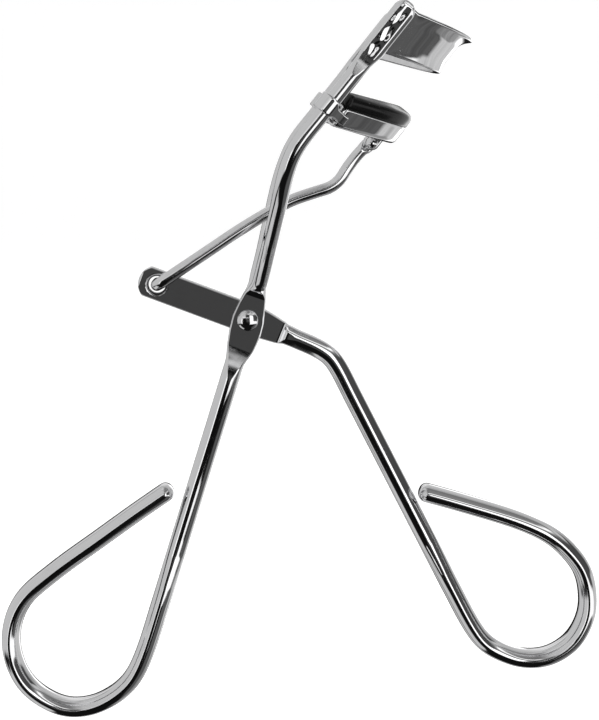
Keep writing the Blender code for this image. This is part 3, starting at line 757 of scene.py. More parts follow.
@dataclass
class Stack:
    """Thicknesses about the rivet, in millimetres, from the middle plane outwards."""

    lever_half: float = 0.7
    flat_half: float = 0.6
    flat_y: float = 1.6
    hole: float = 1.1
    shank: float = 0.9
    head: float = 1.5
    head_seat: float = 2.4


@dataclass
class SideRails:
    """The two wires of the cage. The near one runs on down into handle A and its finger loop.

    Attributes:
        rail: Diameter of the rails.
        handle: Diameter of the handle wire.
        loop: Section of the finger loop.
        loop_start: Distance and direction of the loop's root from the rivet.
        loop_route: The loop's route from its root, as offsets.
        flat: The forged flat at the rivet: x, z, half width and half thickness, from the bottom up.
        spread: The rail's bend: x, z and its share of the way out to its straight stretch.
        spread_y: y of the straight stretch.
        setback: t of the straight stretch.
        neck: Section where a rail begins to flatten, and of the far rail's end.
        near_plate: Section of the near rail's flattened end.
        near_shift: How far the near rail's end stands back.
        welds: Marks of the weld on a flattened end, as Wire takes them.
    """

    stack: Stack
    rail: float = 2.26
    handle: float = 2.8
    loop: Section = Section(1.375, 2.4, 2.4)
    loop_start: tuple[float, float] = (44.6, 252.8)
    loop_route: Sequence[tuple[float, float]] = (
        (-4.6, -12.2), (-9.1, -15.8), (-12.8, -16.75), (-15.8, -16.3), (-20.2, -13.3), (-22.35, -9.0),
        (-22.5, -4.2), (-20.7, 0.2), (-16.1, 4.4), (-8.9, 9.7), (-3.4, 13.7), (1.2, 16.9))
    flat: Sequence[tuple[float, float, float, float]] = (
        (-2.15, -7.0, 1.4, 1.16), (-1.9, -6.2, 1.42, 1.01), (-1.68, -5.5, 1.56, 0.88),
        (-1.05, -4.0, 2.02, 0.6), (-0.45, -2.0, 2.32, 0.6), (0.05, 0.0, 2.32, 0.6),
        (0.62, 2.0, 1.97, 0.6), (1.2, 3.75, 1.5, 0.6))
    spread: Sequence[tuple[float, float, float]] = (
        (2.7, 9.0, 0.23), (3.4, 12.1, 0.45), (4.1, 15.2, 0.65), (4.6, 17.4, 0.78), (5.0, 19.4, 0.87),
        (5.5, 21.6, 0.94), (6.25, 23.8, 0.985))
    spread_y: float = 15.2
    setback: float = -10.4
    neck: Section = Section(1.2, 1.13, 0.8)
    near_plate: Section = Section(1.56, 1.0, 0.8)
    near_shift: float = -0.03
    welds: Sequence[tuple[float, float, float, float, float]] = (
        (1.4, 0.35, 0.5, 0.24, -0.06), (2.0, 0.0, 0.55, 0.32, 0.09), (3.4, 0.3, 0.8, 0.2, -0.07),
        (4.5, 0.05, 0.5, 0.3, 0.1), (5.4, -0.2, 0.45, 0.3, 0.09), (6.5, 0.25, 0.55, 0.24, -0.06),
        (7.3, 0.1, 0.45, 0.34, 0.11), (8.3, -0.1, 0.4, 0.26, 0.06))

    def handle_knots(self) -> list[Knot]:
        """Handle A from its loop's tip up to the forged flat, easing over to the near side on the way."""
        length, angle = self.loop_start
        root = polar(length, angle)
        knots = [(*spot, 0.0, self.loop) for spot in loop_spots(self.loop_route, root)]
        wire = round_wire(self.handle)
        for distance in (length, *np.arange(length - KNOT_SPACING, 9.6, -KNOT_SPACING), 8.9):
            x, z = polar(distance, angle)
            over = float(ease(np.array((26.0 - distance) / 17.0)))
            knots.append((x, z, -self.stack.flat_y * over, rooted(wire, self.loop, length - distance)))
        return knots

    def rail_knots(self, side: int) -> list[Knot]:
        """A rail from the rivet's flat to its flattened end.

        Args:
            side: -1 for the near rail, 1 for the far one.

        Returns:
            Knots for a wire. The far rail's bend stands half a millimetre further back.
        """
        wire = round_wire(self.rail)
        flat_y = side * self.stack.flat_y
        bow = 0.5 if side > 0 else 0.0
        knots = [(1.27 - bow * 0.4, 3.98, flat_y, Section(1.44, 1.3, 0.86)),
                 (1.34 - bow * 0.5, 4.2, flat_y, Section(1.34, 1.25, 0.74)),
                 (1.44 - bow * 0.6, 4.45, flat_y - side * 0.02, Section(1.3, 1.25, 1.08)),
                 (1.7 - bow, 5.05, flat_y + side * 0.15, wire)]
        for x, z, share in self.spread:
            y = flat_y + (side * self.spread_y - flat_y) * share
            knots.append((x - bow * min(1.0, 6 * (1 - share)), z, y, wire))
        plate, shift = (self.neck, 0.0) if side > 0 else (self.near_plate, self.near_shift)
        stations = [(s, 0.0, wire) for s in (24.8, 29.6, 33.0, 36.0)] + [(38.6, 0.0, self.neck)]
        stations += [(s, shift, plate) for s in (40.6, 43.0, 46.5, 48.4)]
        for s, back, section in stations:
            knots.append((*jaw_xz(s, self.setback + back), side * self.spread_y, section))
        return knots

    def flat_knots(self, side: int, first: int) -> list[Knot]:
        """The forged flat, from the outline row named first."""
        y = side * self.stack.flat_y
        return [(x, z, y, Section(half, 1.4, press)) for x, z, half, press in self.flat[first:]]

    def build(self) -> None:
        """Both rails, each with its rivet hole."""
        near_knots = self.handle_knots() + self.flat_knots(-1, 0) + self.rail_knots(-1)
        near = Wire("near_arm", near_knots, softness=0.9, stop_round=self.near_plate.across, welds=self.welds)
        far_flat = [(-0.9, -3.55, self.stack.flat_y, Section(2.1, 1.4, 0.6)), *self.flat_knots(1, 4)]
        far = Wire("far_rail", far_flat + self.rail_knots(1), softness=0.9, start_round=1.9,
                   stop_round=self.neck.across, welds=self.welds, weld_side=1)
        for wire in (near, far):
            mesh = cut(wire.mesh(), [drill("rivet_hole", 0.0, 0.0, self.stack.hole, -3.0, 3.0)])
            place(f"{wire.name}_wire", mesh, WIRE_CHROME, Body.FRAME, Slot.CHROME, wire.name)


@dataclass
class LeverHandle:
    """Handle B: a finger loop, a shank that bends over at the rivet, and a flat lever forged from its end.

    Attributes:
        wire: Diameter of the wire.
        loop: Section of the finger loop.
        bend: x and z of the bend over the rivet, from the shank's top up.
        shank: Length and direction of the shank from the bend down to the loop's root.
        loop_route: The loop's route from its root, as offsets.
        width: Width of the flat lever.
        reach: Rivet to link hole.
        angle: Direction of the lever's long arm.
        end_radius: Radius of the lever's end about the link hole.
        shoulder: Distance from the rivet to the step between wire and flat.
        link_hole: Radius of the hole for the link.
        countersink: Radius of its countersink.
        countersink_depth: Depth of its countersink.
    """

    stack: Stack
    wire: float = 2.8
    loop: Section = Section(1.375, 2.4, 2.4)
    bend: Sequence[tuple[float, float]] = (
        (13.2, -7.3), (12.1, -5.75), (10.5, -4.6), (8.6, -3.7), (6.9, -2.98))
    shank: tuple[float, float] = (37.1, 297.1)
    loop_route: Sequence[tuple[float, float]] = (
        (4.95, -8.5), (8.25, -10.6), (11.5, -11.5), (15.1, -11.1), (18.5, -8.8), (20.4, -5.2), (20.7, -1.8),
        (19.8, 2.2), (17.6, 5.3), (14.8, 7.7), (10.5, 9.8), (1.8, 12.6), (-4.1, 14.3))
    width: float = 4.54
    reach: float = 14.1
    angle: float = 159.3
    end_radius: float = 2.75
    shoulder: float = 5.4
    link_hole: float = 1.235
    countersink: float = 1.5
    countersink_depth: float = 0.45

    def knots(self) -> list[Knot]:
        """The handle from its loop's tip to the lever's end."""
        top = np.array(self.bend[0])
        length, angle = self.shank
        root = top + polar(length, angle)
        knots = [(*spot, 0.0, self.loop) for spot in loop_spots(self.loop_route, root)]
        wire = round_wire(self.wire)
        for distance in (length, *np.arange(length - KNOT_SPACING, 2.4, -KNOT_SPACING)):
            x, z = top + polar(distance, angle)
            knots.append((x, z, 0.0, rooted(wire, self.loop, length - distance)))
        knots += [(x, z, 0.0, wire) for x, z in self.bend]
        x, z = polar(-self.shoulder - 0.35, self.angle)
        knots.append((x, z - 0.25, 0.0, Section(1.5, 1.42, 1.3)))
        for distance, drop, width in (
                (-self.shoulder + 0.05, 0.28, 0.74), (-4.0, 0.2, 0.84), (-2.6, 0.1, 0.93), (-0.6, 0.0, 1.0),
                (5.0, 0.0, 1.0), (10.0, 0.0, 1.0), (self.reach + self.end_radius, 0.0, 1.0)):
            x, z = polar(distance, self.angle)
            section = Section(self.width / 2 * width, 1.6, self.stack.lever_half)
            knots.append((x, z - drop, 0.0, section))
        return knots

    def build(self) -> None:
        """The handle with its rivet hole and its countersunk link hole."""
        half = self.stack.lever_half
        sink = half - self.countersink_depth
        link = [(AXIS, -1.5), (self.countersink + 0.5, -1.5), (self.countersink + 0.12, -half - 0.02),
                (self.countersink, -half + 0.06), (self.link_hole, -sink), (self.link_hole, half - 0.1),
                (self.link_hole + 0.2, half + 0.02), (self.link_hole + 0.2, 1.5), (AXIS, 1.5)]
        wire = Wire("lever_handle", self.knots(), softness=0.6, stop_round=self.end_radius)
        mesh = cut(wire.mesh(), [drill("rivet_hole", 0.0, 0.0, self.stack.hole, -1.5, 1.5),
                                 shaft_cutter("link_hole", *polar(self.reach, self.angle), link)])
        place("lever_handle_wire", mesh, WIRE_CHROME, Body.LEVER, Slot.CHROME, "lever_handle")


@dataclass
class Rivet:
    """The riveted pivot: a domed head in front of the near flat, a low formed tail behind the far one.

    Attributes:
        head_height: Height of the head's dome.
        tail: Radius of the tail.
        tail_height: Height of the tail.
    """

    stack: Stack
    head_height: float = 0.9
    tail: float = 1.35
    tail_height: float = 0.5

    def build(self) -> None:
        """One turned piece: a dome is an ellipse's quarter, and the head's rim has a small radius."""
        seat = self.stack.head_seat
        head = arc_profile(self.stack.head, self.head_height * 0.8, -seat - self.head_height * 0.2, -1)
        rim = [(self.stack.head, -seat - 0.08), (self.stack.head - 0.08, -seat)]
        tail = arc_profile(self.tail, self.tail_height * 0.8, seat + self.tail_height * 0.2, 1)
        shank = [(self.stack.shank, -seat), (self.stack.shank, seat), (self.tail, seat)]
        mesh = turned_piece("pivot_rivet", head[::-1] + rim + shank + tail, PIVOT)
        place("rivet", mesh, TURNED_CHROME, Body.FRAME, Slot.CHROME, "pivot_rivet")


@dataclass
class Pusher:
    """The bent link: hooked through the lever, run up beside it, and flattened into an eye under the jaw.

    Attributes:
        hole: x and z of the lever's link hole.
        wire: Diameter of the wire.
        route: x and z of the run from the lever to the eye.
        tail_out: How far the hooked end stands out behind the lever.
        gap: Space between the run and the lever's face.
        elbow: Radius of the bend from the hooked end into the run.
        eye: Section of the flattened eye, whose half width is its end's radius.
        eye_hole: Radius of the eye's hole.
    """

    stack: Stack
    hole: Array
    wire: float = 1.75
    route: Sequence[tuple[float, float]] = (
        (-9.36, 7.52), (-6.6, 9.35), (-4.2, 10.95), (-1.8, 12.55), (2.4, 15.1), (6.4, 17.2), (9.9, 18.4),
        (12.0, 19.1), (13.3, 20.1), (14.3, 21.6), (15.4, 23.1), (16.5, 24.35))
    tail_out: float = 1.0
    gap: float = 0.3
    elbow: float = 1.15
    eye: Section = Section(1.05, 1.0, 0.6)
    eye_hole: float = 0.65

    def build(self) -> None:
        """The link, with its eye's hole."""
        wire = round_wire(self.wire)
        run_y = -(self.stack.lever_half + self.wire / 2 + self.gap)
        heading = unit(np.array(self.route[0]) - self.hole)
        hook = (self.stack.lever_half + self.tail_out + 0.3, 0.8, 0.2, run_y + self.elbow)
        knots = [(*self.hole, y, wire) for y in hook]
        for degrees in (30, 60, 90):
            angle = math.radians(degrees)
            x, z = self.hole + heading * self.elbow * (1 - math.cos(angle))
            knots.append((x, z, run_y + self.elbow * (1 - math.sin(angle)), wire))
        reach = np.linalg.norm(np.array(self.route) - self.hole, axis=1)
        inward = run_y * np.maximum(0.0, 1 - (reach - reach[0]) / (reach[-2] - reach[0]))
        knots += [(x, z, y, wire) for (x, z), y in zip(self.route, inward)]
        pin = (PIN - PIVOT)[[0, 2]] / MM
        ahead = unit(pin - np.array(self.route[-1]))
        knots += [(*(pin + ahead * distance), 0.0, self.eye) for distance in (-0.95, 0.0, self.eye.across)]
        link = Wire("pusher_link", knots, softness=0.35, step=0.2, stop_round=self.eye.across, tip=0.5,
                    lean=tuple(heading))
        mesh = cut(link.mesh(), [drill("eye_hole", *pin, self.eye_hole, -2.0, 2.0)])
        place("pusher_link_wire", mesh, WIRE_CHROME, Body.PUSHER, Slot.CHROME, "pusher_link")


@dataclass
class JawArc:
    """The jaws' common arc, in millimetres, seen along the rails.

    Attributes:
        radius: Radius of the upper plate's and the channel's middle.
        centre: t of the arc's centre.
        half: Half the arc's angle in degrees.
        slope: Climb of the closing edge for each unit of t past the ears.
        edge: s of the upper jaw's closing edge at its ears.
        opening: Upper edge down to the pad at rest.
        pad_above_floor: Pad's top over the channel's underside.
    """

    radius: float = 14.7
    centre: float = -15.9
    half: float = 61.0
    slope: float = 0.43
    edge: float = 41.2
    opening: float = 6.9
    pad_above_floor: float = 5.1

    def closing(self, t: Array) -> Array:
        """s of the closing edge: level along the ears, and climbing with t from there."""
        ears = self.centre + self.radius * math.cos(math.radians(self.half))
        return self.edge + self.slope * (np.maximum(t, ears) - ears)

    def floor(self, angle: Array) -> Array:
        """s of the channel's underside at an angle round the arc, in radians."""
        return self.closing(self.centre + self.radius * np.cos(angle)) - self.opening - self.pad_above_floor

    def at(self, out: Array, angle: Array, s: Array) -> Array:
        """World points at a distance outside the arc, an angle round it and an s."""
        reach = self.radius + out
        return jaw_view(s, self.centre + reach * np.cos(angle), reach * np.sin(angle))


@dataclass
class UpperJaw:
    """The curved plate across the rail ends, with a flared lip on top and ears inside the rails.

    Attributes:
        sheet: Thickness of the plate.
        ear_y: Middle of the ears from the middle plane.
        ear_top: s of the ears' top.
        crest: s of the lip's highest place.
        lip_flare: How far the lip leans out.
        lip_height: Depth of the lip's flare under its top.
        roll: How far the closing edge rolls out.
        roll_height: Height of that roll.
    """

    arc: JawArc
    sheet: float = 0.6
    ear_y: float = 13.8
    ear_top: float = 47.9
    crest: float = 50.9
    lip_flare: float = 1.15
    lip_height: float = 2.0
    roll: float = 0.34
    roll_height: float = 1.7

    def plan(self) -> tuple[Array, Array]:
        """The plate's middle line seen along s, from ear to ear.

        Returns:
            Its points as (t, y), and for each how far up the crest it is: the cosine of its angle, spread so
            that it is 0 at the end of the arc.
        """
        half = math.radians(self.arc.half)
        angle = np.linspace(0.0, half, 9)
        t, y = self.arc.centre + self.arc.radius * np.cos(angle), self.arc.radius * np.sin(angle)
        bend = t[-1] - (self.ear_y - y[-1]) * 1.35
        side = np.stack([np.append(t, [bend, bend - 1.0]), np.append(y, [self.ear_y, self.ear_y])], axis=1)
        line, _ = flowing_line(np.concatenate([side[:0:-1] * [1, -1], side]), 0.22, 0.7)
        round_arc = np.arctan2(np.abs(line[:, 1]), line[:, 0] - self.arc.centre)
        return line, np.cos(np.clip(round_arc / half, 0.0, 1.0) * math.pi / 2)

    def build(self) -> None:
        """The plate.

        A point's height goes from the closing edge to the crest. The lip flares by rise^1.8, and the lowest
        millimetre rolls out by the square of its depth.
        """
        plan, share = self.plan()
        t, y = plan[:, :1], plan[:, 1:]
        low = self.arc.closing(t) + self.sheet / 2
        high = self.ear_top + (self.crest - self.ear_top) * share[:, None]
        s = low + (high - low) * np.linspace(0.0, 1.0, 48)[None]
        rise = np.clip(1 - (high - s) / self.lip_height, 0.0, 1.0)
        fall = np.clip(1 - (s - low) / self.roll_height, 0.0, 1.0)
        flare = share[:, None] * (self.lip_flare * rise**1.8 + self.roll * fall**2)
        outward = np.stack([np.sqrt(1 - np.clip(y / self.arc.radius, -1, 1) ** 2), y / self.arc.radius])
        middle = jaw_view(s, t + outward[0] * flare, y + outward[1] * flare)
        mesh = tube_mesh("upper_jaw", sheet_rings(middle, self.sheet * MM))
        place("upper_jaw_plate", mesh, SHEET_CHROME, Body.FRAME, Slot.CHROME, "upper_jaw")


@dataclass
class LowerJaw:
    """The sliding jaw: a folded channel with two lugs under it, a silicone pad and a sleeve at each end.

    Attributes:
        width: Channel's outer width.
        height: Channel's walls over its floor.
        sheet: Channel's wall.
        fold: Radius of the folds' middle line.
        lug_half: Half the width of a lug, and its end's radius.
        lug_sheet: Thickness of a lug.
        lug_y: Middle of a lug from the middle plane.
        pin_s: s of the hinge pin.
        pin_t: t of the hinge pin.
        pin: Radius of the hinge pin.
        pin_head: Radius of its heads.
        pad_gap: Space between the pad and the channel.
        sleeve_s: s of the sleeves' middle.
        sleeve_length: Length of a sleeve.
        sleeve_radius: Radius of a sleeve's middle line.
        sleeve_sheet: Thickness of a sleeve.
        tab_height: Height of a sleeve's tab.
        rail_t: t of the rails.
        rail_y: y of the rails.
        along: Stations round the arc of the channel and the pad.
    """

    arc: JawArc
    width: float = 3.5
    height: float = 2.7
    sheet: float = 0.45
    fold: float = 0.75
    lug_half: float = 0.86
    lug_sheet: float = 0.55
    lug_y: float = 1.125
    pin_s: float = 31.0
    pin_t: float = -2.0
    pin: float = 0.5
    pin_head: float = 0.88
    pad_gap: float = 0.2
    sleeve_s: float = 31.05
    sleeve_length: float = 2.0
    sleeve_radius: float = 1.54
    sleeve_sheet: float = 0.42
    tab_height: float = 0.95
    rail_t: float = -10.4
    rail_y: float = 15.2
    along: int = 150

    def channel(self) -> bpy.types.Mesh:
        """The channel: a U of two walls, two quarter-circle folds and a floor, carried round the arc."""
        half = (self.width - self.sheet) / 2
        quarter = np.linspace(0.0, math.pi / 2, 10)[1:-1]
        wall = np.linspace(self.height, self.fold, 10)
        floor = np.linspace(-half + self.fold, half - self.fold, 10)
        out = np.concatenate([np.full(10, -half), -half + self.fold * (1 - np.cos(quarter)), floor,
                              half - self.fold * (1 - np.sin(quarter)), np.full(10, half)])
        up = np.concatenate([wall, self.fold * (1 - np.sin(quarter)), np.zeros(10),
                             self.fold * (1 - np.cos(quarter)), wall[::-1]])
        half_arc = math.radians(self.arc.half)
        angle = np.linspace(-half_arc, half_arc, self.along)[:, None]
        s = self.arc.floor(angle) + self.sheet / 2 + up[None]
        return tube_mesh("lower_jaw", sheet_rings(self.arc.at(out[None], angle, s), self.sheet * MM))

    def lug(self, side: int) -> bpy.types.Mesh:
        """A lug: a plate with straight sides and a half-round end about the pin, its hole cut through it."""
        top = float(self.arc.floor(np.array(0.0))) + self.sheet * 0.6
        reach = np.concatenate([self.lug_half * (1 - np.cos(np.linspace(0.05, math.pi / 2, 14))),
                                np.linspace(self.lug_half, top - self.pin_s + self.lug_half, 8)[1:]])
        width = self.lug_half * np.sqrt(1 - np.clip(1 - reach / self.lug_half, 0.0, 1.0) ** 2)
        s = (self.pin_s - self.lug_half + reach)[:, None]
        t = self.pin_t + width[:, None] * np.linspace(-1.0, 1.0, 13)[None]
        middle = jaw_view(s, t, np.full_like(t, side * self.lug_y))
        mesh = tube_mesh("lug", sheet_rings(middle, self.lug_sheet * MM, 3))
        x, z = (PIN - PIVOT)[[0, 2]] / MM
        near, far = sorted((side * (self.lug_y - 0.6), side * (self.lug_y + 0.6)))
        return cut(mesh, [drill("pin_hole", x, z, self.pin + 0.1, near, far)])

    def hinge_pin(self) -> bpy.types.Mesh:
        """The pin: a ball head in front, a shank, and a low formed head behind."""
        reach = self.lug_y + self.lug_sheet / 2 + 0.15
        turn = np.radians(np.linspace(2, 138, 18))
        ball = [(self.pin_head * math.sin(a), -reach - self.pin_head * (0.75 + math.cos(a))) for a in turn]
        shank = [(self.pin, -reach), (self.pin, reach)]
        tail = arc_profile(self.pin_head, 0.5, reach, 1)
        return turned_piece("hinge_pin", ball + shank + tail, PIN, 40)

    def pad(self) -> bpy.types.Mesh:
        """The pad: a stem in the channel under a crowned head.

        The section is a closed line through its corners, eased so that the head is round-shouldered, and the
        ends shrink towards the head's middle along a quarter of an ellipse.
        """
        stem = self.width / 2 - self.sheet - self.pad_gap
        base, rim = self.sheet + self.pad_gap, self.sheet / 2 + self.height + self.pad_gap
        top, head = self.arc.pad_above_floor, self.width / 2 - 0.05
        half = np.array([(0.0, base), (stem * 0.6, base), (stem, base + 0.15), (stem, rim - 0.45),
                         (stem, rim - 0.08), (stem + 0.12, rim), (head * 0.9, rim), (head * 0.99, rim + 0.18),
                         (head, rim + 0.6), (head * 0.97, top - 0.8), (head * 0.86, top - 0.36),
                         (head * 0.62, top - 0.08), (head * 0.3, top), (0.0, top)])
        line, _ = flowing_line(half, 0.12, 0.09)
        section = np.concatenate([line[:-1], (line * [-1, 1])[:0:-1]])
        end = np.linspace(math.pi / 2, 0.0, 14)[:-1]
        half_arc = math.radians(self.arc.half)
        angle = np.concatenate([-half_arc - 0.05 * np.sin(end), np.linspace(-half_arc, half_arc, self.along),
                                half_arc + 0.05 * np.sin(end[::-1])])[:, None]
        full = np.concatenate([np.cos(end), np.ones(self.along), np.cos(end[::-1])])[:, None]
        shrink = np.maximum(full, 0.03) ** 0.5
        middle = (rim + top) / 2
        up = middle + (section[None, :, 1] - middle) * shrink
        floor = self.arc.floor(np.clip(angle, -half_arc, half_arc))
        return tube_mesh("jaw_pad", self.arc.at(section[None, :, 0] * shrink, angle, floor + up))

    def sleeve(self, side: int) -> bpy.types.Mesh:
        """A sleeve rolled round the rail from one strip, which ends as a tab on the channel's outer wall."""
        roll = np.radians(np.linspace(345.0, 38.0, 24))
        coil = np.stack([self.rail_t + self.sleeve_radius * np.cos(roll),
                         self.rail_y + self.sleeve_radius * np.sin(roll)], axis=1)
        reach = self.arc.radius + self.width / 2 + self.pad_gap + self.sleeve_sheet / 2
        along = np.radians(np.linspace(self.arc.half + 1.9, self.arc.half - 1.2, 4))
        tab = np.stack([self.arc.centre + reach * np.cos(along), reach * np.sin(along)], axis=1)
        line, places = flowing_line(np.concatenate([coil, tab]), 0.09, 0.16)
        share = ease((places - 20.5) / 3.0)[:, None]
        height = self.sleeve_length + (self.tab_height - self.sleeve_length) * share
        s = self.sleeve_s - 0.25 * share + height * np.linspace(-0.5, 0.5, 16)[None]
        middle = jaw_view(s, line[:, :1], side * line[:, 1:])
        return tube_mesh("guide_sleeve", sheet_rings(middle, self.sleeve_sheet * MM, 4))

    def build(self) -> None:
        """Every piece that slides with the jaw."""
        place("lower_jaw_channel", self.channel(), SHEET_CHROME, Body.JAW, Slot.CHROME, "lower_jaw")
        place("silicone_pad", self.pad(), PAD_SILICONE, Body.JAW, Slot.PAD, "jaw_pad")
        place("hinge_pin_turned", self.hinge_pin(), TURNED_CHROME, Body.JAW, Slot.CHROME, "hinge_pin")
        for side, label in ((-1, "near"), (1, "far")):
            place(f"{label}_lug", self.lug(side), SHEET_CHROME, Body.JAW, Slot.CHROME)
            place(f"{label}_sleeve", self.sleeve(side), SHEET_CHROME, Body.JAW, Slot.CHROME,
                  f"{label}_guide_sleeve")


# ------------------------------------------------------------------------------------------------ studio


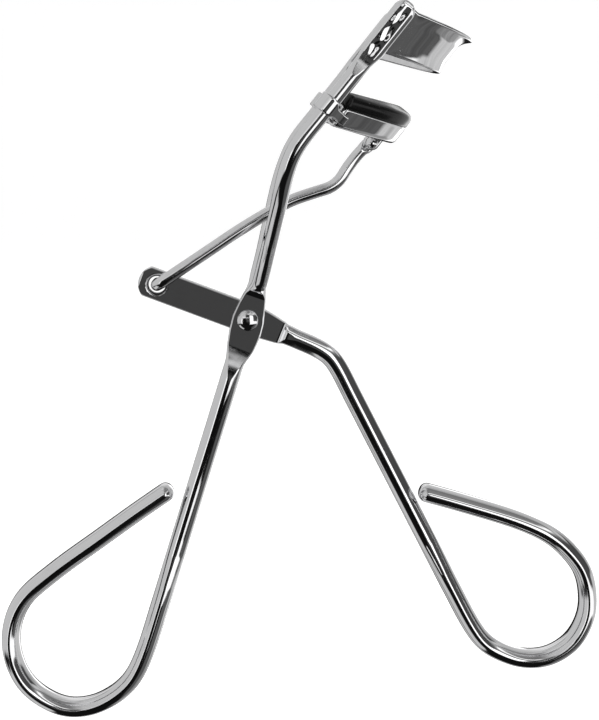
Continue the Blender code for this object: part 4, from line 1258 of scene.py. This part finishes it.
@dataclass
class Studio:
    """Pale round cove, soft lights, and the surroundings that the chrome mirrors.

    Attributes:
        camera_at: Camera's place in metres.
        aim: Point that it looks at.
        lens: Focal length in millimetres on a 36 mm sensor.
        cove: Radius of the cove's flat floor in metres.
        rim: Radius of the curve from the floor up into the wall, in metres.
        sides: Number of the cove's sides.
        drop: Depth of the floor under the origin in metres, since handle B swings lower as it closes.
    """

    camera_at: tuple[float, float, float] = (-0.00244, -0.23695, 0.09251)
    aim: tuple[float, float, float] = (0.00005, 0.0, 0.05456)
    lens: float = 81.85
    cove: float = 0.9
    rim: float = 0.4
    sides: int = 96
    drop: float = 0.0075

    def camera(self) -> None:
        """The camera."""
        data = bpy.data.cameras.new("camera")
        data.lens, data.sensor_width, data.clip_start = self.lens, 36.0, 0.01
        camera = put("camera", data)
        camera.location = self.camera_at
        camera.rotation_euler = self.facing(self.camera_at)
        bpy.context.scene.camera = camera

    def facing(self, place: tuple[float, float, float]) -> Any:
        """The rotation that turns a camera or a lamp at a place towards the aim."""
        return (Vector(self.aim) - Vector(place)).to_track_quat("-Z", "Y").to_euler()

    def floor(self) -> None:
        """The cove: a disc whose rim turns up in a quarter circle into a wall, seen by the camera only."""
        flat = np.linspace(0.001, self.cove, 10)
        bend = np.linspace(0.0, math.pi / 2, 16)[1:]
        radius = np.concatenate([flat, self.cove + self.rim * np.sin(bend), [self.cove + self.rim]])
        height = np.concatenate([0 * flat, self.rim * (1 - np.cos(bend)), [2.0]]) - self.drop
        angle = np.linspace(0, 2 * math.pi, self.sides, endpoint=False)
        points = np.stack([radius[:, None] * np.cos(angle), radius[:, None] * np.sin(angle),
                           height[:, None] + 0 * angle], axis=-1).reshape(-1, 3)
        row, column = np.meshgrid(np.arange(len(radius) - 1), np.arange(self.sides), indexing="ij")
        corners = ((row, column), (row + 1, column), (row + 1, column + 1), (row, column + 1))
        quads = np.stack([r * self.sides + c % self.sides for r, c in corners], axis=-1).reshape(-1, 4)
        mesh = bpy.data.meshes.new("cove")
        mesh.from_pydata(points.tolist(), [], [list(range(self.sides)), *quads.tolist()])
        mesh.shade_smooth()
        cove = put("cove", mesh)
        cove.visible_glossy = cove.visible_diffuse = cove.visible_shadow = False
        material, graph = new_material("pale_cove")
        spot = graph.node("ShaderNodeTexCoord")["Object"]
        colour = graph.grey(0.5 + (graph.noise(spot, 40.0, 3.0) - 0.5) * 0.01)
        shader = graph.node("ShaderNodeBsdfPrincipled", None, Base_Color=colour, Roughness=0.9,
                            Emission_Color=(1.0, 1.0, 1.0, 1.0), Emission_Strength=0.62)
        graph.node("ShaderNodeOutputMaterial", None, Surface=shader["BSDF"])
        mesh.materials.append(material)

    def surroundings(self) -> None:
        """The world that the chrome mirrors, by the direction that a reflected ray leaves in.

        Patches of light are laid over a mid grey with soft streaks, each over those before it. Left of the
        camera everything is pale, edged with a thin bright strip, and below it there is a dark corner with a
        pale patch in it. A dark band stands at the camera, with a streaked one over it, and the floor in
        front is dark. Right of it come a broad white strip, a dark grey side, and a streaked patch low down.
        Behind the object stand a dark panel and a white one.
        """
        world = bpy.data.worlds.new("surroundings")
        world.use_nodes = True
        bpy.context.scene.world = world
        graph = Graph(world.node_tree)
        direction = graph.node("ShaderNodeTexCoord")["Generated"]
        axes = graph.node("ShaderNodeSeparateXYZ", None, Vector=direction)
        wave = (graph.noise(direction, 2.2, 1.0) - 0.5) * 0.1
        wave = wave + (graph.noise(direction, 11.0, 1.0) - 0.5) * 0.03
        x, y, z = axes["X"] + wave, axes["Y"], axes["Z"] + wave
        streaks = graph.node("ShaderNodeMapping", None, Vector=direction, Scale=(1.2, 13.0, 1.2))["Vector"]
        streak = graph.noise(streaks, 1.0, 2.0) - 0.5

        def window(value: Value, low: float, high: float, soft: float) -> Value:
            """1 between low and high, with soft edges."""
            return value.between(low - soft, low + soft) * (1 - value.between(high - soft, high + soft))

        def over(under: Value, light: Any, mask: Value) -> Value:
            """Light laid over what is under it where the mask is 1."""
            return under + (light - under) * mask

        front = 1 - y.between(-0.05, 0.2)
        low = 1 - z.between(-0.52, -0.42)
        middle = x.between(-0.35, 0.05)
        right = x.between(0.6, 0.68)
        light = 0.62 + streak * (0.5 + z.between(-0.1, 0.15) * 1.1)
        light = over(light, 0.62 + streak * 0.2, 1 - x.between(-0.66, -0.58))
        light = over(light, 0.14 + streak * 0.45, middle * window(z, 0.2, 0.64, 0.06) * front)
        light = over(light, 0.2 + streak * 0.6, middle * z.between(0.6, 0.7) * (1 - y.between(0.3, 0.6)))
        light = over(light, 1.3, window(z, 0.66, 0.74, 0.03) * x.between(-0.1, 0.1) * front)
        light = over(light, 0.035 + streak * 0.2,
                     window(x, -0.22, 0.14, 0.04) * window(z, 0.06, 0.56, 0.05) * front)
        light = over(light, 0.004, window(x, -0.52, 0.9, 0.03) * (1 - z.between(0.14, 0.26)) * front)
        light = over(light, 1.3, window(x, -0.5, 0.1, 0.04) * window(z, 0.18, 0.23, 0.015) * front)
        light = over(light, 0.07, right * (1 - z.between(0.45, 0.6)) * front)
        light = over(light, 0.07, right * window(z, 0.02, 0.5, 0.05) * (1 - y.between(0.45, 0.75)))
        light = over(light, 1.7, window(x, 0.22, 0.58, 0.03) * window(z, -0.42, 0.5, 0.05) * front)
        light = over(light, 1.3, window(x, 0.22, 0.97, 0.03) * window(z, -0.42, -0.14, 0.03) * front)
        light = over(light, 1.4, window(x, -0.64, -0.54, 0.02) * window(z, -0.4, 0.1, 0.05) * front)
        light = over(light, 0.006, window(x, -0.34, 0.37, 0.05) * low * (1 - y.between(0.5, 0.75)))
        right_low = 0.006 + (0.1 + streak * 0.16) * y.between(-0.6, -0.4)
        light = over(light, right_low, x.between(0.32, 0.42) * low * (1 - y.between(0.28, 0.4)))
        light = over(light, 0.006 + y.between(0.4, 0.65) * 0.5,
                     (1 - x.between(-0.39, -0.29)) * (1 - z.between(-0.44, -0.36)))
        light = over(light, 0.06, window(x, -0.15, 0.15, 0.04) * window(z, -0.24, 0.1, 0.03) * front)
        bend = window(x, 0.24, 0.64, 0.04) * low * window(y, 0.14, 0.8, 0.06)
        light = over(light, 0.3 + streak * 0.5, bend)
        below_left = window(x, -0.8, -0.36, 0.03) * low * window(y, -0.36, 0.45, 0.05)
        light = over(light, 0.62 + streak * 0.6, below_left)
        behind = y.between(0.8, 0.86)
        light = over(light, 0.012, behind * window(x, -0.46, 0.24, 0.04) * (1 - z.between(0.12, 0.22)))
        light = over(light, 1.6, behind * window(x, 0.2, 0.44, 0.03) * (1 - z.between(0.3, 0.4)))
        background = graph.node("ShaderNodeBackground", None, Color=graph.grey(light), Strength=1.0)
        graph.node("ShaderNodeOutputWorld", None, Surface=background["Background"])

    def lights(self) -> None:
        """A broad softbox overhead and a weaker one at the left, neither mirrored by the chrome."""
        for name, at, size, power in (("top_softbox", (0.1, -0.25, 0.9), 0.9, 9.0),
                                      ("left_softbox", (-0.8, -0.5, 0.6), 0.6, 3.0)):
            data = bpy.data.lights.new(name, "AREA")
            data.shape, data.size, data.energy = "DISK", size, power
            lamp = put(name, data)
            lamp.location = at
            lamp.rotation_euler = self.facing(at)
            lamp.visible_glossy = lamp.visible_camera = False

    def build(self) -> None:
        """The whole studio."""
        bpy.context.scene.view_settings.view_transform = "Standard"
        self.camera()
        self.floor()
        self.surroundings()
        self.lights()


def main() -> None:
    """Builds the curler and the studio, and notes the model's size."""
    logging.basicConfig(level=logging.INFO, format="%(name)s %(message)s")
    stack = Stack()
    arc = JawArc()
    lever = LeverHandle(stack)
    assemblies = (SideRails(stack), lever, Rivet(stack), Pusher(stack, polar(lever.reach, lever.angle)),
                  UpperJaw(arc), LowerJaw(arc), Studio())
    for assembly in assemblies:
        assembly.build()
        LOG.info("%s built", type(assembly).__name__)


if __name__ == "__main__":
    main()
